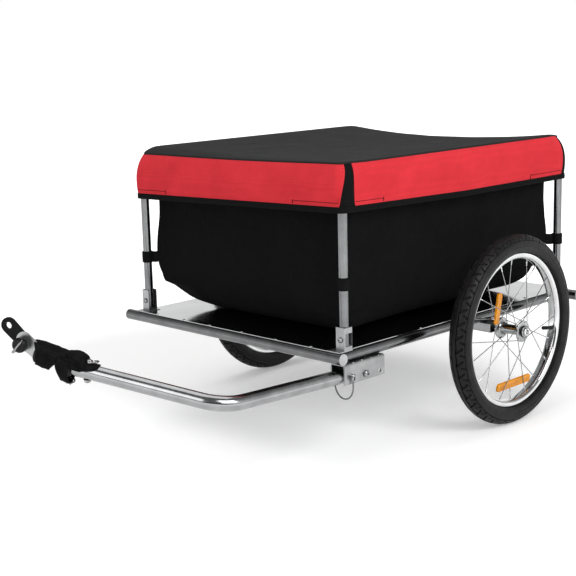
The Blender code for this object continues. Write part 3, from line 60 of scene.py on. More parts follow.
# Wheels
TYRE_R = 0.1975
TYRE_WIDTH = 0.045
TREAD_DEPTH = 0.0028
TREAD_PITCHES = 46
TREAD_COLUMNS = 16
TREAD_HALF_DEG = 62.0
TREAD_STEPS = 30
WALL_DEGREES = (66, 70, 72, 74, 80, 86, 90, 92, 94, 100, 108, 116, 124)
WALL_BACK = 0.0007
WALL_RIB = 0.0006
TYRE_CASING = 0.0035
BEAD_WIDTH = 0.0035
BEAD_INSET = 0.0018
RIM_R = 0.160
RIM_WIDTH = 0.025
RIM_DEPTH = 0.0125
RIM_SEAT = 0.006
RIM_WELL = 0.009
WHEEL_Y = 0.353
HUB_HALF = 0.033
HUB_BARREL_R = 0.010
HUB_END_R = 0.0125
HUB_FLANGE_R = 0.0225
HUB_FLANGE_THICK = 0.003
HUB_FLANGE_AT = 0.026
DUST_CAP_R = 0.0122
SPOKES = 20
SPOKE_R = 0.0009
SPOKE_HOLE_R = 0.019
SPOKE_LEAD_DEG = 72.0
SPOKE_ELBOW = 0.0016
SPOKE_TO_RIM = 0.0008
SPOKE_RIM_OFFSET = 0.0025
SPOKE_HEAD_BACK = 0.0022
NIPPLE_R = 0.0019
NIPPLE_LENGTH = 0.012
VALVE_ANGLE_DEG = 171.0
VALVE_R = 0.0040
VALVE_OUT = 0.002
VALVE_THREADS = 6
VALVE_THREAD_AT = 0.0236
VALVE_PITCH = 0.0022
VALVE_LENGTH = 0.0388
# Width, height and thickness of a reflector, and its turns in degrees on the wheel.
LOW_REFLECTOR = ((0.115, 0.017, 0.006), (-10.5, 0.0, 0.0))
HIGH_REFLECTOR = ((0.018, 0.065, 0.005), (0.0, -10.0, -11.5))
AXLE_R = 0.006
AXLE_CAP_R = 0.0085
AXLE_CAP = 0.005
AXLE_PAST_HUB = 0.0620
BUTTON_R = 0.0042
BUTTON_DEPTH = 0.0055

# Frame
TUBE_R = 0.011
TUBE_WALL = 0.0015
FRAME_Z = 0.217
SIDE_Y = 0.283
FRONT_X = 0.458
REAR_X = -0.293
SHORT_END = 0.018
LONG_END = 0.044
PLUG_CAP = 0.002
PLUG_DEPTH = 0.012
PLUG_EDGE = 0.0008
WELD_R = 0.0013
WELD_RIPPLE = 0.00025
FLOOR_TOP_Z = FRAME_Z + TUBE_R + GAP + 0.0012
RIVET_R = 0.0032
RIVET_RISE = 0.0013
RIVETS_Y = (-0.232, -0.148, -0.066, 0.028, 0.124, 0.217)
SIDE_RIVETS_X = (-0.150, 0.030, 0.212, 0.385)

# Gates and brackets
POST_R = 0.009
POST_WALL = 0.0012
FRONT_POST_X = 0.436
REAR_POST_X = -0.271
PIVOT_Z = 0.250
TOP_Z = 0.564
GATE_BEND_R = 0.040
POST_FOOT = 0.012
SLEEVE_R = 0.0113
SLEEVE_TO_BEND = 0.008
SLEEVE_STATION = 0.15
BRACKET_HALF = 0.011
HINGE_BOLT_R = 0.003

# Bag
BAG_SETBACK = 0.016
BAG_SIDE = 0.2675
# Rows: height above the bottom, setback in front, setback behind, half width.
BAG_LEVELS = (
    (0.0, 0.098, 0.080, 0.155),
    (0.010, 0.066, 0.052, 0.195),
    (0.030, 0.034, 0.032, 0.228),
    (0.070, 0.008, 0.012, 0.254),
    (0.114, 0.0, 0.003, BAG_SIDE),
    (0.180, 0.0, 0.004, BAG_SIDE),
    (0.245, 0.002, 0.006, BAG_SIDE),
    (0.3343, 0.0, 0.0, 0.2734),
)
BAG_LOW_RISES = (0.0, 0.004, 0.008, 0.013, 0.019, 0.026, 0.034, 0.041, 0.048, 0.053, 0.058, 0.0625, 0.067,
                 0.074, 0.080)
BAG_WALL_FROM = 0.088
BAG_WALL_STEPS = 22
BAG_LONG, BAG_SHORT, BAG_CORNER = 56, 48, 10
BAG_CORNER_R = 0.012
# Rows: height, and how far the corners are drawn outward there.
BAG_CORNER_PULL = (
    (0.0, 0.0), (0.012, -0.010), (0.034, -0.016), (0.046, -0.011), (0.056, 0.003), (0.0625, 0.0125),
    (0.067, 0.0120), (0.080, 0.0078), (0.103, 0.0068), (0.127, 0.0068), (0.180, 0.0), (0.232, -0.0097),
    (0.306, -0.0135), (0.3343, -0.0135),
)
BAG_REAR_PULL = ((0.0, 0.0), (0.1, -0.002), (0.180, -0.0015), (0.306, 0.0055), (0.3343, 0.0060))
BAG_PULL_REACH = 0.085
BAG_RIM_SAG = 0.020
BAG_RIM_INSET = 0.040
BROAD_FOLD = 0.0046
SLANT_FOLD = 0.0030
FINE_FOLD = 0.0010
FOLDS_INWARD = 0.0022
LOW_DRAPE = 0.006
LOW_DRAPE_AT = 0.030
LOW_DRAPE_REACH = 0.022
BAG_CLOTH = 0.0012
LOOP_Z = 0.345
NEAR_LOOP_RAISED = 0.009
WEBBING_WIDTH = 0.024
WEBBING = 0.0015
LOOP_TAB = 0.0022
LOOP_TAB_DROOP = 0.0008
LOOP_TAB_SHIFT = 0.0011
LOOP_TAB_INSET = {"front": (0.0005, 0.0005), "rear": (0.0045, 0.0020)}

# Cover
COVER_END_EASE = 0.006
COVER_SIDE_EASE = 0.004
COVER_CORNER_R = 0.013
COVER_CLOTH = 0.002
HEM_Z = 0.490
HEM_TILT = 0.007
CREST_STEEPNESS = 1.6
HEM_HEIGHT = 0.0115
COVER_TUCK = 0.0125
COVER_TUCK_REACH = 0.085
EDGE_ROUND = 0.0035
BULGE = 0.003
SAG_MIDDLE, SAG_FRONT, SAG_REAR = 0.006, 0.0020, 0.0225
DROP_FRONT = (0.010, 0.001)
DROP_REAR = (0.0185, 0.006)
REAR_STEEPNESS = 0.85
LONG, SHORT, CORNER = 64, 50, 6
SKIRT_STEPS = 14
STRIP_STEPS = 12
# How far each strip reaches from its corner, at the hem and above, along the side (True) or the end.
STRIP_REACH = {("front", True): (0.034, 0.0225), ("front", False): (0.0056, -0.0050),
               ("rear", True): (0.021, 0.017), ("rear", False): (0.020, 0.012)}
STRIP_LAP = 0.004
# Level of the skirt, from hem to top, where the stitch lines run out from the corner strips.
STITCH_LEVEL = 0.10
# Rows: end of the trailer, whether the first line runs along the side, lengths of both lines.
STITCHED = (
    ("front", False, 0.122, 0.112), ("rear", True, 0.140, 0.095),
    ("rear", False, 0.095, 0.095), ("front", True, 0.110, 0.100),
)
STITCH_PITCH = 0.0042

# Receiver, arm and hitch
RECEIVER_Y = 0.2815
RECEIVER_HALF = 0.0175
RECEIVER_RIVETS_X = (0.429, 0.404, 0.379, 0.356)
ARM_BOLT_X = 0.395
ARM_BOLT_Z = 0.178
ARM_BOLT_R = 0.004
ARM_R = 0.014
ARM_WALL = 0.0015
ARM_PAST_BOLT = 0.016
ARM_PITCH_DEG = 2.0
ARM_STRAIGHT = 0.344
ARM_YAW_DEG = 62.05
ARM_RISE_DEG = 10.9
ARM_BEND_R = 0.070
ARM_SECOND = 0.280
COUPLING_RISE_DEG = 20.5
COUPLING_R = 0.0195
COUPLING_FRONT = 0.0755
COUPLING_SETBACK = 0.0042
COUPLING_WAIST_AT = 0.0365
COUPLING_WAIST_REACH = 0.0085
COUPLING_WAIST_R = 0.007
COUPLING_RIBS = 7
COUPLING_RIB_PITCH = 0.0088
# Rows: place along the coupling, reach up, reach down, half width, skew, bow.
WRAP_STATIONS = (
    (0.0386, 0.0222, 0.0200, 0.0208, -0.0066, 0.0), (0.0396, 0.0232, 0.0210, 0.0218, -0.0064, 0.0),
    (0.0480, 0.0232, 0.0218, 0.0226, -0.0040, 0.0), (0.0560, 0.0228, 0.0220, 0.0226, -0.0010, 0.0005),
    (0.0660, 0.0214, 0.0220, 0.0222, 0.0030, 0.0030), (0.0737, 0.0186, 0.0220, 0.0214, 0.0065, 0.0056),
    (0.0745, 0.0172, 0.0210, 0.0202, 0.0065, 0.0058),
)
WRAP_NEAR_BACK = 0.0058
BAND_FRONT = 0.0385
BAND_FRONT_RISE = 0.003
BAND_FRONT_DROP = 0.017
BAND_NEAR_BACK = 0.0078
BAND_HALF = 0.0224
BAND_UP = 0.0234
BAND_DOWN = 0.0320
STRAP_BOLT_BACK = 0.0255
STRAP_BOLT_R = 0.003
STRAP_CLOTH = 0.0025
# Rows: place along the arm, degrees round it on the near side and on the far side.
TAIL_LAP = (
    (-0.0452, 24, 18), (-0.0435, 46, 34), (-0.0400, 58, 44), (-0.0350, 68, 48),
    (-0.0300, 74, 48), (-0.0250, 78, 48), (-0.0205, 80, 48),
)
# Rows: place along the coupling, top, half width, height of the near edge.
TAIL_HUMP = (
    (-0.0168, 0.0215, 0.0178, 0.0040), (-0.0160, 0.0245, 0.0180, 0.0036), (-0.0130, 0.0275, 0.0182, 0.0030),
    (-0.0090, 0.0291, 0.0184, 0.0024), (-0.0030, 0.0303, 0.0186, 0.0018), (0.0030, 0.0305, 0.0186, 0.0012),
    (0.0075, 0.0299, 0.0180, 0.0012), (0.0105, 0.0287, 0.0150, 0.0200), (0.0150, 0.0268, 0.0138, 0.0215),
    (0.0210, 0.0250, 0.0135, 0.0215),
)
TAIL_COLUMNS = 14
KEEPER_PATH = ((-0.031, 0.006, 0.0195), (-0.041, 0.006, 0.0215), (-0.041, -0.006, 0.0215),
               (-0.032, -0.006, 0.0195))
KEEPER_R = 0.0013
HOOK_PATH = ((0.006, 0.008, -0.029), (-0.002, 0.006, -0.0275), (-0.008, 0.003, -0.0225),
             (-0.004, 0.0, -0.0190), (0.004, -0.002, -0.0210))
HOOK_R = 0.0014
LOCK_RING_R = 0.0016
LOCK_RING_BEND = 0.027
LOCK_RING_LOWER = 0.004
COLLAR_R = 0.0105
CHEEK_R = 0.0155
CHEEK_RAISED = 0.006
CHEEK_LOW = 0.0125
CHEEK_PLATE = 0.0016
CHEEK_HEIGHT = 0.036
BAIL_DRESSED = 0.0005

# Camera, fitted to the photograph
CAMERA_AT = (1.80992, 1.82335, 0.81277)
CAMERA_RIGHT = (-0.701413, 0.712324, -0.024794)
CAMERA_UP = (-0.158682, -0.122149, 0.979745)
CAMERA_LENS = 79.426

# Studio
FLOOR_RINGS = (0.0, 0.8, 2.0, 6.0, 18.0, 60.0)
FLOOR_BELOW = 0.0004
FLOOR_PAINT = 0.86
FLOOR_GLOW = 0.26
FLOOR_FADE = (0.9, 2.4)
WORLD_LIGHT = 0.50
CEILING = 0.22
CEILING_FADE = (0.22, 0.70)
ROOM_SIDE = (math.cos(math.radians(50)), math.sin(math.radians(50)), 0)
ROOM_LIGHT = 0.12
ROOM_FADE = (0.62, 0.95)
LAMPS = (
    ("key_softbox", (0.4, 3.6, 2.7), (2.4, 2.4), 118),
    ("front_softbox", (3.4, 0.5, 1.9), (2.0, 2.0), 30),
    ("top_softbox", (-0.3, -0.6, 3.2), (2.6, 2.6), 32),
)

low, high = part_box("left_tyre")
AXLE_X = (low.x + high.x) / 2
INTO_ROW = Matrix.Translation((AXLE_X, 0, 0))
MIDDLE_X = (FRONT_POST_X + REAR_POST_X) / 2


# Materials
class Finish:
    """A Principled material whose colour, roughness and bump come from nodes in object space."""

    def __init__(self, name, roughness, metallic=0.0, **sockets):
        self.material = bpy.data.materials.new(name)
        self.material.use_nodes = True
        self.tree = self.material.node_tree
        self.shader = self.tree.nodes["Principled BSDF"]
        self.shader.inputs["Metallic"].default_value = metallic
        self.shader.inputs["Roughness"].default_value = roughness
        for socket, value in sockets.items():
            self.shader.inputs[socket.replace("_", " ")].default_value = value
        self.place = self.node("TexCoord").outputs["Object"]
        self.height = None

    def node(self, kind, **settings):
        made = self.tree.nodes.new("ShaderNode" + kind)
        for key, value in settings.items():
            setattr(made, key, value)
        return made

    def link(self, source, socket):
        self.tree.links.new(source, socket)

    def stretched(self, scale):
        """Object coordinates scaled along each axis."""
        mapping = self.node("Mapping")
        mapping.inputs["Scale"].default_value = scale
        self.link(self.place, mapping.inputs["Vector"])
        return mapping.outputs["Vector"]

    def grain(self, scale, detail=2.0, stretch=(1, 1, 1), roughness=0.5):
        """Noise with features of about 1/scale metres."""
        made = self.node("TexNoise")
        made.inputs["Scale"].default_value = scale
        made.inputs["Detail"].default_value = detail
        made.inputs["Roughness"].default_value = roughness
        self.link(self.stretched(stretch), made.inputs["Vector"])
        return made.outputs["Fac"]

    def range(self, value, low, high, start=0.0, end=1.0):
        """A value moved from one range to another."""
        made = self.node("MapRange")
        for socket, number in zip(("From Min", "From Max", "To Min", "To Max"), (start, end, low, high)):
            made.inputs[socket].default_value = number
        self.link(value, made.inputs["Value"])
        return made.outputs["Result"]

    def math(self, operation, first, second):
        """Arithmetic on two values, either of which may be a number."""
        made = self.node("Math", operation=operation)
        for socket, value in zip(made.inputs, (first, second)):
            if isinstance(value, (int, float)):
                socket.default_value = value
            else:
                self.link(value, socket)
        return made.outputs["Value"]

    def colours(self, value, first, second, start=0.3, end=0.7):
        """Two colours mixed by a value, into the shader's base colour."""
        ramp = self.node("ValToRGB")
        ramp.color_ramp.elements[0].position, ramp.color_ramp.elements[1].position = start, end
        ramp.color_ramp.elements[0].color = (*first, 1)
        ramp.color_ramp.elements[1].color = (*second, 1)
        self.link(value, ramp.inputs["Fac"])
        self.link(ramp.outputs["Color"], self.shader.inputs["Base Color"])
        return self

    def rough(self, value, low, high, start=0.3, end=0.7):
        self.link(self.range(value, low, high, start, end), self.shader.inputs["Roughness"])
        return self

    def bump(self, value, distance, strength=1.0):
        """Adds a relief of that depth in metres to the surface."""
        made = self.node("Bump")
        made.inputs["Distance"].default_value = distance
        made.inputs["Strength"].default_value = strength
        self.link(value, made.inputs["Height"])
        if self.height is not None:
            self.link(self.height, made.inputs["Normal"])
        self.height = made.outputs["Normal"]
        self.link(self.height, self.shader.inputs["Normal"])
        return self

    def waves(self, axis, pitch):
        """Parallel ridges across an axis, repeated at that pitch."""
        made = self.node("TexWave", wave_type="BANDS", bands_direction=axis)
        made.inputs["Scale"].default_value = math.pi / (10 * pitch)
        self.link(self.place, made.inputs["Vector"])
        return made.outputs["Fac"]


def steel(name, dark, light, roughness, streak=(1, 1, 1), metallic=1.0, scuffs=1.0):
    """Plated or polished metal with fine grain, faint blotches and small scuffs."""
    made = Finish(name, roughness, metallic)
    blotches = made.grain(38, 3)
    fine = made.grain(900, 4, streak, 0.65)
    made.colours(blotches, dark, light)
    made.rough(made.math("ADD", made.math("MULTIPLY", blotches, 0.6), made.math("MULTIPLY", fine, 0.4)),
               roughness * 0.75, roughness * 1.3)
    return made.bump(fine, 0.00003 * scuffs, 0.4).bump(made.grain(160, 2), 0.00006 * scuffs, 0.2).material


def woven(name, dark, light, pitch, relief, crease, sheen, gloss=0.08, roughness=0.9):
    """Plain-woven fabric: crossed threads, slubs, soft creases and a faint sheen."""
    made = Finish(name, roughness, 0.0, Sheen_Weight=sheen, Sheen_Roughness=0.45)
    made.shader.inputs["Specular IOR Level"].default_value = gloss
    warp = made.math("MAXIMUM", made.waves("X", pitch), made.waves("Y", pitch))
    threads = made.math("MULTIPLY", warp, made.math("ADD", 0.4, made.waves("Z", pitch)))
    worn = made.grain(16, 4, (1, 1, 1), 0.6)
    made.colours(made.math("ADD", made.math("MULTIPLY", worn, 0.8), made.math("MULTIPLY", threads, 0.2)),
                 dark, light, 0.28, 0.8)
    made.rough(worn, roughness - 0.1, min(1.0, roughness + 0.08))
    made.bump(made.grain(13, 3, (1, 1, 0.6)), crease, 0.5)
    return made.bump(threads, relief, 0.55).material


def webbing(name, dark, light):
    """Narrow webbing with a pronounced rib."""
    made = Finish(name, 0.85, 0.0, Sheen_Weight=0.0, Specular_IOR_Level=0.05)
    ribs = made.math("MULTIPLY", made.waves("DIAGONAL", 0.0016), made.grain(700, 2))
    made.colours(made.math("ADD", made.math("MULTIPLY", ribs, 0.6), made.grain(60, 3)), dark, light, 0.3, 1.1)
    made.rough(ribs, 0.75, 0.95, 0.0, 0.8)
    return made.bump(ribs, 0.0004, 0.6).material


def moulded(name, dark, light, roughness, relief=0.00004, **sockets):
    """Moulded plastic or rubber with a fine pebbled skin."""
    made = Finish(name, roughness, 0.0, **sockets)
    pebbles = made.grain(1200, 2)
    made.colours(made.grain(45, 4), dark, light)
    made.rough(made.grain(120, 3), roughness * 0.85, min(1.0, roughness * 1.15))
    return made.bump(pebbles, relief, 0.5).material


def prismatic(name):
    """Amber reflector lens: clear face over rows of small prisms, lighter away from each prism's middle as
    painted glints.
    """
    made = Finish(name, 0.12, 0.0, Coat_Weight=0.15, Coat_Roughness=0.05, Specular_IOR_Level=0.25)
    cells = made.node("TexVoronoi", distance="MANHATTAN")
    cells.inputs["Scale"].default_value = 330
    cells.inputs["Randomness"].default_value = 0.0
    made.link(made.place, cells.inputs["Vector"])
    prism = cells.outputs["Distance"]
    bands = made.grain(30, 2, (1, 0.4, 1))
    # Colour lighter away from each prism's middle: painted glints in the prisms; the stretched bands vary the
    # amber's tone.
    made.colours(made.math("ADD", made.math("MULTIPLY", prism, 0.45), made.math("MULTIPLY", bands, 0.75)),
                 (0.46, 0.13, 0.002), (0.84, 0.33, 0.005), 0.35, 0.85)
    made.rough(prism, 0.08, 0.25, 0.0, 0.8)
    return made.bump(prism, 0.0004, 0.7).material


def polished(name):
    """Thin rolled sheet: long faint roller streaks and a slow waviness that bends reflections."""
    made = Finish(name, 0.16, 1.0)
    streaks = made.grain(260, 4, (0.05, 1, 1), 0.6)
    made.colours(made.grain(9, 3), (0.44, 0.445, 0.45), (0.54, 0.545, 0.55))
    half_streaks = made.math("MULTIPLY", streaks, 0.5)
    made.rough(made.math("ADD", half_streaks, made.math("MULTIPLY", made.grain(20, 3), 0.5)), 0.10, 0.16)
    return made.bump(made.grain(6, 1), 0.0008, 0.15).material


GREY_STEEL = steel("satin_grey_steel", (0.135, 0.137, 0.140), (0.185, 0.187, 0.190), 0.15, (1, 1, 0.06),
                   scuffs=0.15)
BRIGHT_STEEL = steel("satin_bright_steel", (0.28, 0.284, 0.288), (0.36, 0.364, 0.368), 0.17, (0.1, 0.1, 1),
                     scuffs=0.15)
ZINC_STEEL = steel("zinc_plated_steel", (0.28, 0.284, 0.288), (0.39, 0.394, 0.398), 0.33, scuffs=0.5)
CHROME = steel("chromed_steel", (0.56, 0.565, 0.57), (0.66, 0.665, 0.67), 0.09, scuffs=0.08)
SPOKE_STEEL = steel("stainless_spoke", (0.26, 0.263, 0.266), (0.36, 0.363, 0.366), 0.24, scuffs=0.3)
BLACK_STEEL = steel("black_coated_steel", (0.004, 0.004, 0.0042), (0.009, 0.009, 0.0093), 0.42, metallic=0.0)
BLACK_STEEL.node_tree.nodes["Principled BSDF"].inputs["Specular IOR Level"].default_value = 0.08
SHEET = polished("rolled_sheet")
TOP_CLOTH = woven("cover_top_cloth", (0.012, 0.012, 0.0124), (0.019, 0.019, 0.0194), 0.0012, 0.0002, 0.004,
                  0.01, 0.12)
BAG_FABRIC = woven("bag_cloth", (0.003, 0.003, 0.0033), (0.007, 0.007, 0.0073), 0.0012, 0.00018, 0.011,
                   0.004, 0.05)
TRIM_CLOTH = woven("binding_cloth", (0.003, 0.003, 0.0033), (0.007, 0.007, 0.0073), 0.0010, 0.0002, 0.002,
                   0.005)
RED = woven("red_cover_cloth", (0.53, 0.022, 0.031), (0.70, 0.038, 0.050), 0.0012, 0.00018, 0.005, 0.02, 0.12)
THREAD = woven("sewing_thread", (0.004, 0.004, 0.004), (0.010, 0.010, 0.010), 0.0006, 0.0001, 0.0, 0.0)
WEBBING_CLOTH = webbing("black_webbing", (0.002, 0.002, 0.0022), (0.010, 0.010, 0.0103))
RUBBER = moulded("coupling_rubber", (0.005, 0.005, 0.005), (0.011, 0.011, 0.0113), 0.65,
                 Specular_IOR_Level=0.2)
TYRE_RUBBER = moulded("tyre_rubber", (0.003, 0.003, 0.0031), (0.009, 0.009, 0.0092), 0.50, 0.00008,
                      Specular_IOR_Level=0.20)
BLACK_PLASTIC = moulded("black_plastic", (0.004, 0.004, 0.004), (0.008, 0.008, 0.008), 0.34,
                        Specular_IOR_Level=0.15)
GREY_PLASTIC = moulded("grey_plastic", (0.36, 0.36, 0.37), (0.46, 0.46, 0.47), 0.45)
AMBER = prismatic("amber_lens")


# Mesh tools
def turns(count, start_deg=0.0, sweep_deg=360.0):
    """Evenly spaced angles, leaving out the last."""
    return [math.radians(start_deg + sweep_deg * i / count) for i in range(count)]


def arc(centre, radius, start_deg, end_deg, steps):
    """Points of a flat arc, with both ends."""
    angles = [math.radians(start_deg + (end_deg - start_deg) * i / steps) for i in range(steps + 1)]
    return [(centre[0] + radius * math.cos(a), centre[1] + radius * math.sin(a)) for a in angles]


def bent_path(corners, radius, steps=16):
    """A path through corner points with each inner corner bent to a radius."""
    corners = [Vector(corner) for corner in corners]
    path = [corners[0]]
    for before, corner, after in zip(corners, corners[1:], corners[2:]):
        incoming = (corner - before).normalized()
        outgoing = (after - corner).normalized()
        turn = incoming.angle(outgoing)
        centre = corner + (outgoing - incoming).normalized() * (radius / math.cos(turn / 2))
        start = corner - incoming * (radius * math.tan(turn / 2)) - centre
        axis = incoming.cross(outgoing).normalized()
        path += [centre + Matrix.Rotation(turn * i / steps, 3, axis) @ start for i in range(steps + 1)]
    return path + [corners[-1]]


def rings_along(path, radii, sides=32):
    """Round rings along a path, without twist."""
    path = [Vector(point) for point in path]
    ahead = [(path[min(i + 1, len(path) - 1)] - path[max(i - 1, 0)]).normalized() for i in range(len(path))]
    across = ahead[0].orthogonal().normalized()
    rings = []
    for point, before, tangent, radius in zip(path, [ahead[0]] + ahead, ahead, radii):
        across = before.rotation_difference(tangent) @ across
        up = tangent.cross(across)
        rings.append([point + across * (radius * math.cos(t)) + up * (radius * math.sin(t))
                      for t in turns(sides)])
    return rings


def loft(bm, rings, caps=False, loop=False, around=True):
    """Faces between rings of points, added to a bmesh."""
    made = [[bm.verts.new(point) for point in ring] for ring in rings]
    for first, second in list(zip(made, made[1:])) + ([(made[-1], made[0])] if loop else []):
        for i in range(len(first) if around else len(first) - 1):
            j = (i + 1) % len(first)
            bm.faces.new((first[i], first[j], second[j], second[i]))
    if caps:
        bm.faces.new(list(reversed(made[0])))
        bm.faces.new(made[-1])
    return bm


def spun(bm, profile, steps=48, loop=False, matrix=None):
    """A profile of (radius, height) turned round +Z, added to a bmesh."""
    matrix = matrix or Matrix()
    rings = [[matrix @ Vector((r * math.cos(t), r * math.sin(t), z)) for t in turns(steps)]
             for r, z in profile]
    return loft(bm, rings, loop=loop)


def pipe(bm, path, radius, wall=0.0, sides=32):
    """A bar along a path, or a tube where it has a wall, added to a bmesh."""
    outer = rings_along(path, [radius] * len(path), sides)
    if not wall:
        return loft(bm, outer, caps=True)
    inner = rings_along(path, [radius - wall] * len(path), sides)
    return loft(bm, outer + inner[::-1], loop=True)


def hexagon(bm, radius, low_z, high_z, matrix):
    """A nut with chamfered corners, added to a bmesh."""
    chamfer = 0.12 * radius
    rings = []
    for r, z in ((radius - 2 * chamfer, low_z), (radius, low_z + chamfer), (radius, high_z - chamfer),
                 (radius - 2 * chamfer, high_z)):
        rings.append([matrix @ Vector((r * math.cos(t), r * math.sin(t), z)) for t in turns(6)])
    return loft(bm, rings, caps=True)


def screw(bm, radius, grip, matrix, socket=True, past_nut=0.0016):
    """A domed bolt with washers, nut and threaded end, added to a bmesh."""
    head_r, head, washer, pitch = 1.75 * radius, 1.3 * radius, 0.0007, 0.0008
    top = grip / 2 + GAP
    recess = [(0, top + head * 0.35), (0.45 * radius, top + head * 0.35), (0.5 * radius, top + head * 0.98)]
    dome = [(head_r * math.sin(a), top + head * (0.35 + 0.65 * math.cos(a)))
            for a in (math.radians(d) for d in (25, 40, 55, 70, 82, 90))]
    spun(bm, (recess if socket else [(0, top + head)]) + dome + [(head_r, top), (0, top)], 24, matrix=matrix)
    spun(bm, [(0, -top), (1.95 * radius, -top), (1.95 * radius, -top - washer), (0, -top - washer)], 24,
         matrix=matrix)
    nut_top = -top - washer
    nut_low = -top - head
    hexagon(bm, 1.85 * radius, nut_low, nut_top, matrix)
    thread = [(0, nut_low)]
    turns_left = int(past_nut / pitch)
    for i in range(turns_left):
        z = nut_low - pitch * i
        thread += [(radius * 0.86, z), (radius, z - pitch / 2)]
    thread += [(radius * 0.8, nut_low - pitch * turns_left), (0, nut_low - pitch * turns_left)]
    spun(bm, thread, 18, matrix=matrix)
    return bm


def piece(name, bm, finish, body, stands_for=(), at=None, sharp_deg=35, outward=True):
    """Turn a bmesh into a piece in the row frame that rides on a body and stands for CAD nodes."""
    bmesh.ops.remove_doubles(bm, verts=bm.verts, dist=0.0000005)
    if outward:
        bmesh.ops.recalc_face_normals(bm, faces=bm.faces)
    mesh = bpy.data.meshes.new(name)
    bm.to_mesh(mesh)
    bm.free()
    mesh.transform(INTO_ROW @ (at or Matrix()))
    mesh.materials.append(finish)
    mesh.shade_smooth()
    mesh.set_sharp_from_angle(angle=math.radians(sharp_deg))
    made = bpy.data.objects.new(name, mesh)
    SCENE.collection.objects.link(made)
    if stands_for:
        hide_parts(*stands_for)
    if body:
        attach(made, body)
    return made


def rounded(made, width, segments=2, angle_deg=32):
    """Round a piece's sharp edges."""
    step = made.modifiers.new("rounded edges", "BEVEL")
    step.width = width
    step.segments = segments
    step.limit_method = "ANGLE"
    step.angle_limit = math.radians(angle_deg)
    step.harden_normals = False
    return made


def thick(made, thickness, offset=-1):
    """Give a sheet its thickness, inward from its face, and sharpen its cut edges."""
    step = made.modifiers.new("cloth thickness", "SOLIDIFY")
    step.thickness = thickness
    step.offset = offset
    bpy.context.view_layer.update()
    graph = bpy.context.evaluated_depsgraph_get()
    mesh = bpy.data.meshes.new_from_object(made.evaluated_get(graph))
    made.modifiers.clear()
    mesh.set_sharp_from_angle(angle=math.radians(60))
    made.data = mesh
    return made


def ruffle(point, scale, seed):
    """Smooth repeatable noise from -1 to 1."""
    return noise.noise(Vector(point) * scale + Vector((seed, 2.3 * seed, -1.7 * seed)))


def even_shares(steps):
    """The inner shares of a length cut into equal steps."""
    return [i / steps for i in range(1, steps)]


def rounded_rectangle(x_low, x_high, half, corner_r, long_steps, short_steps, corner_steps=6):
    """Level outline points, anticlockwise from the front right corner."""
    outline = []
    for centre, start, steps in (((x_high - corner_r, corner_r - half), -90, short_steps),
                                 ((x_high - corner_r, half - corner_r), 0, long_steps),
                                 ((x_low + corner_r, half - corner_r), 90, short_steps),
                                 ((x_low + corner_r, corner_r - half), 180, long_steps)):
        outline.append(([Vector(p) for p in arc(centre, corner_r, start, start + 90, corner_steps)], steps))
    level = []
    for (points, steps), (following, next_steps) in zip(outline, outline[1:] + outline[:1]):
        level += points
        level += [points[-1].lerp(following[0], share) for share in even_shares(steps)]
    return level


def straight(table, at):
    """Second column of a table at a value of its first, on straight lines between the rows."""
    for (start, first), (end, second) in zip(table, table[1:]):
        if at <= end:
            break
    return first + (second - first) * min(1.0, max(0.0, (at - start) / (end - start)))


def smoothed(table, at):
    """Row of a table at a value of its first column, on a smooth curve through the rows."""
    for i in range(len(table) - 1):
        if at <= table[i + 1][0]:
            break
    before, first, second, after = (table[max(i - 1, 0)], table[i], table[i + 1],
                                    table[min(i + 2, len(table) - 1)])
    span = second[0] - first[0]
    t = (at - first[0]) / span
    row = []
    for k in range(1, len(first)):
        slope_in = (second[k] - before[k]) / max(second[0] - before[0], span) * span
        slope_out = (after[k] - first[k]) / max(after[0] - first[0], span) * span
        row.append((2 * t ** 3 - 3 * t ** 2 + 1) * first[k] + (t ** 3 - 2 * t ** 2 + t) * slope_in
                   + (3 * t ** 2 - 2 * t ** 3) * second[k] + (t ** 3 - t ** 2) * slope_out)
    return row


def stitches(bm, path, normals, length=0.0028, width=0.00055):
    """A row of raised stitches along a path, added to a bmesh."""
    travelled, following = 0.0, STITCH_PITCH / 2
    for (start, end), normal in zip(zip(path, path[1:]), normals):
        start, end = Vector(start), Vector(end)
        stretch = (end - start).length
        while following <= travelled + stretch:
            middle = start.lerp(end, (following - travelled) / stretch)
            ahead = (end - start).normalized()
            out = Vector(normal).normalized()
            across = ahead.cross(out)
            rings = []
            for along, swell in ((-0.5, 0.35), (-0.25, 1.0), (0.25, 1.0), (0.5, 0.35)):
                rings.append([middle + ahead * (length * along) + (across * math.cos(t) + out * math.sin(t))
                              * (width * swell) for t in turns(6)])
            loft(bm, rings, caps=True)
            following += STITCH_PITCH
        travelled += stretch
    return bm


# Building the frame, the gates and the bag
def build_plug(corner, at):
    """Grey plug with a dished head, in the open end of a cross tube."""
    bore = TUBE_R - TUBE_WALL - GAP
    profile = [(0, -PLUG_EDGE), (TUBE_R * 0.55, -0.0007), (TUBE_R * 0.62, 0), (TUBE_R - PLUG_EDGE, 0),
               (TUBE_R, -PLUG_EDGE), (TUBE_R, -PLUG_CAP), (bore, -PLUG_CAP), (bore, 0.001 - PLUG_DEPTH),
               (bore - 0.001, -PLUG_DEPTH), (0, -PLUG_DEPTH)]
    piece(corner + "_end_plug", spun(bmesh.new(), profile, 48), GREY_PLASTIC, "base",
          [corner + "_plug"], at)


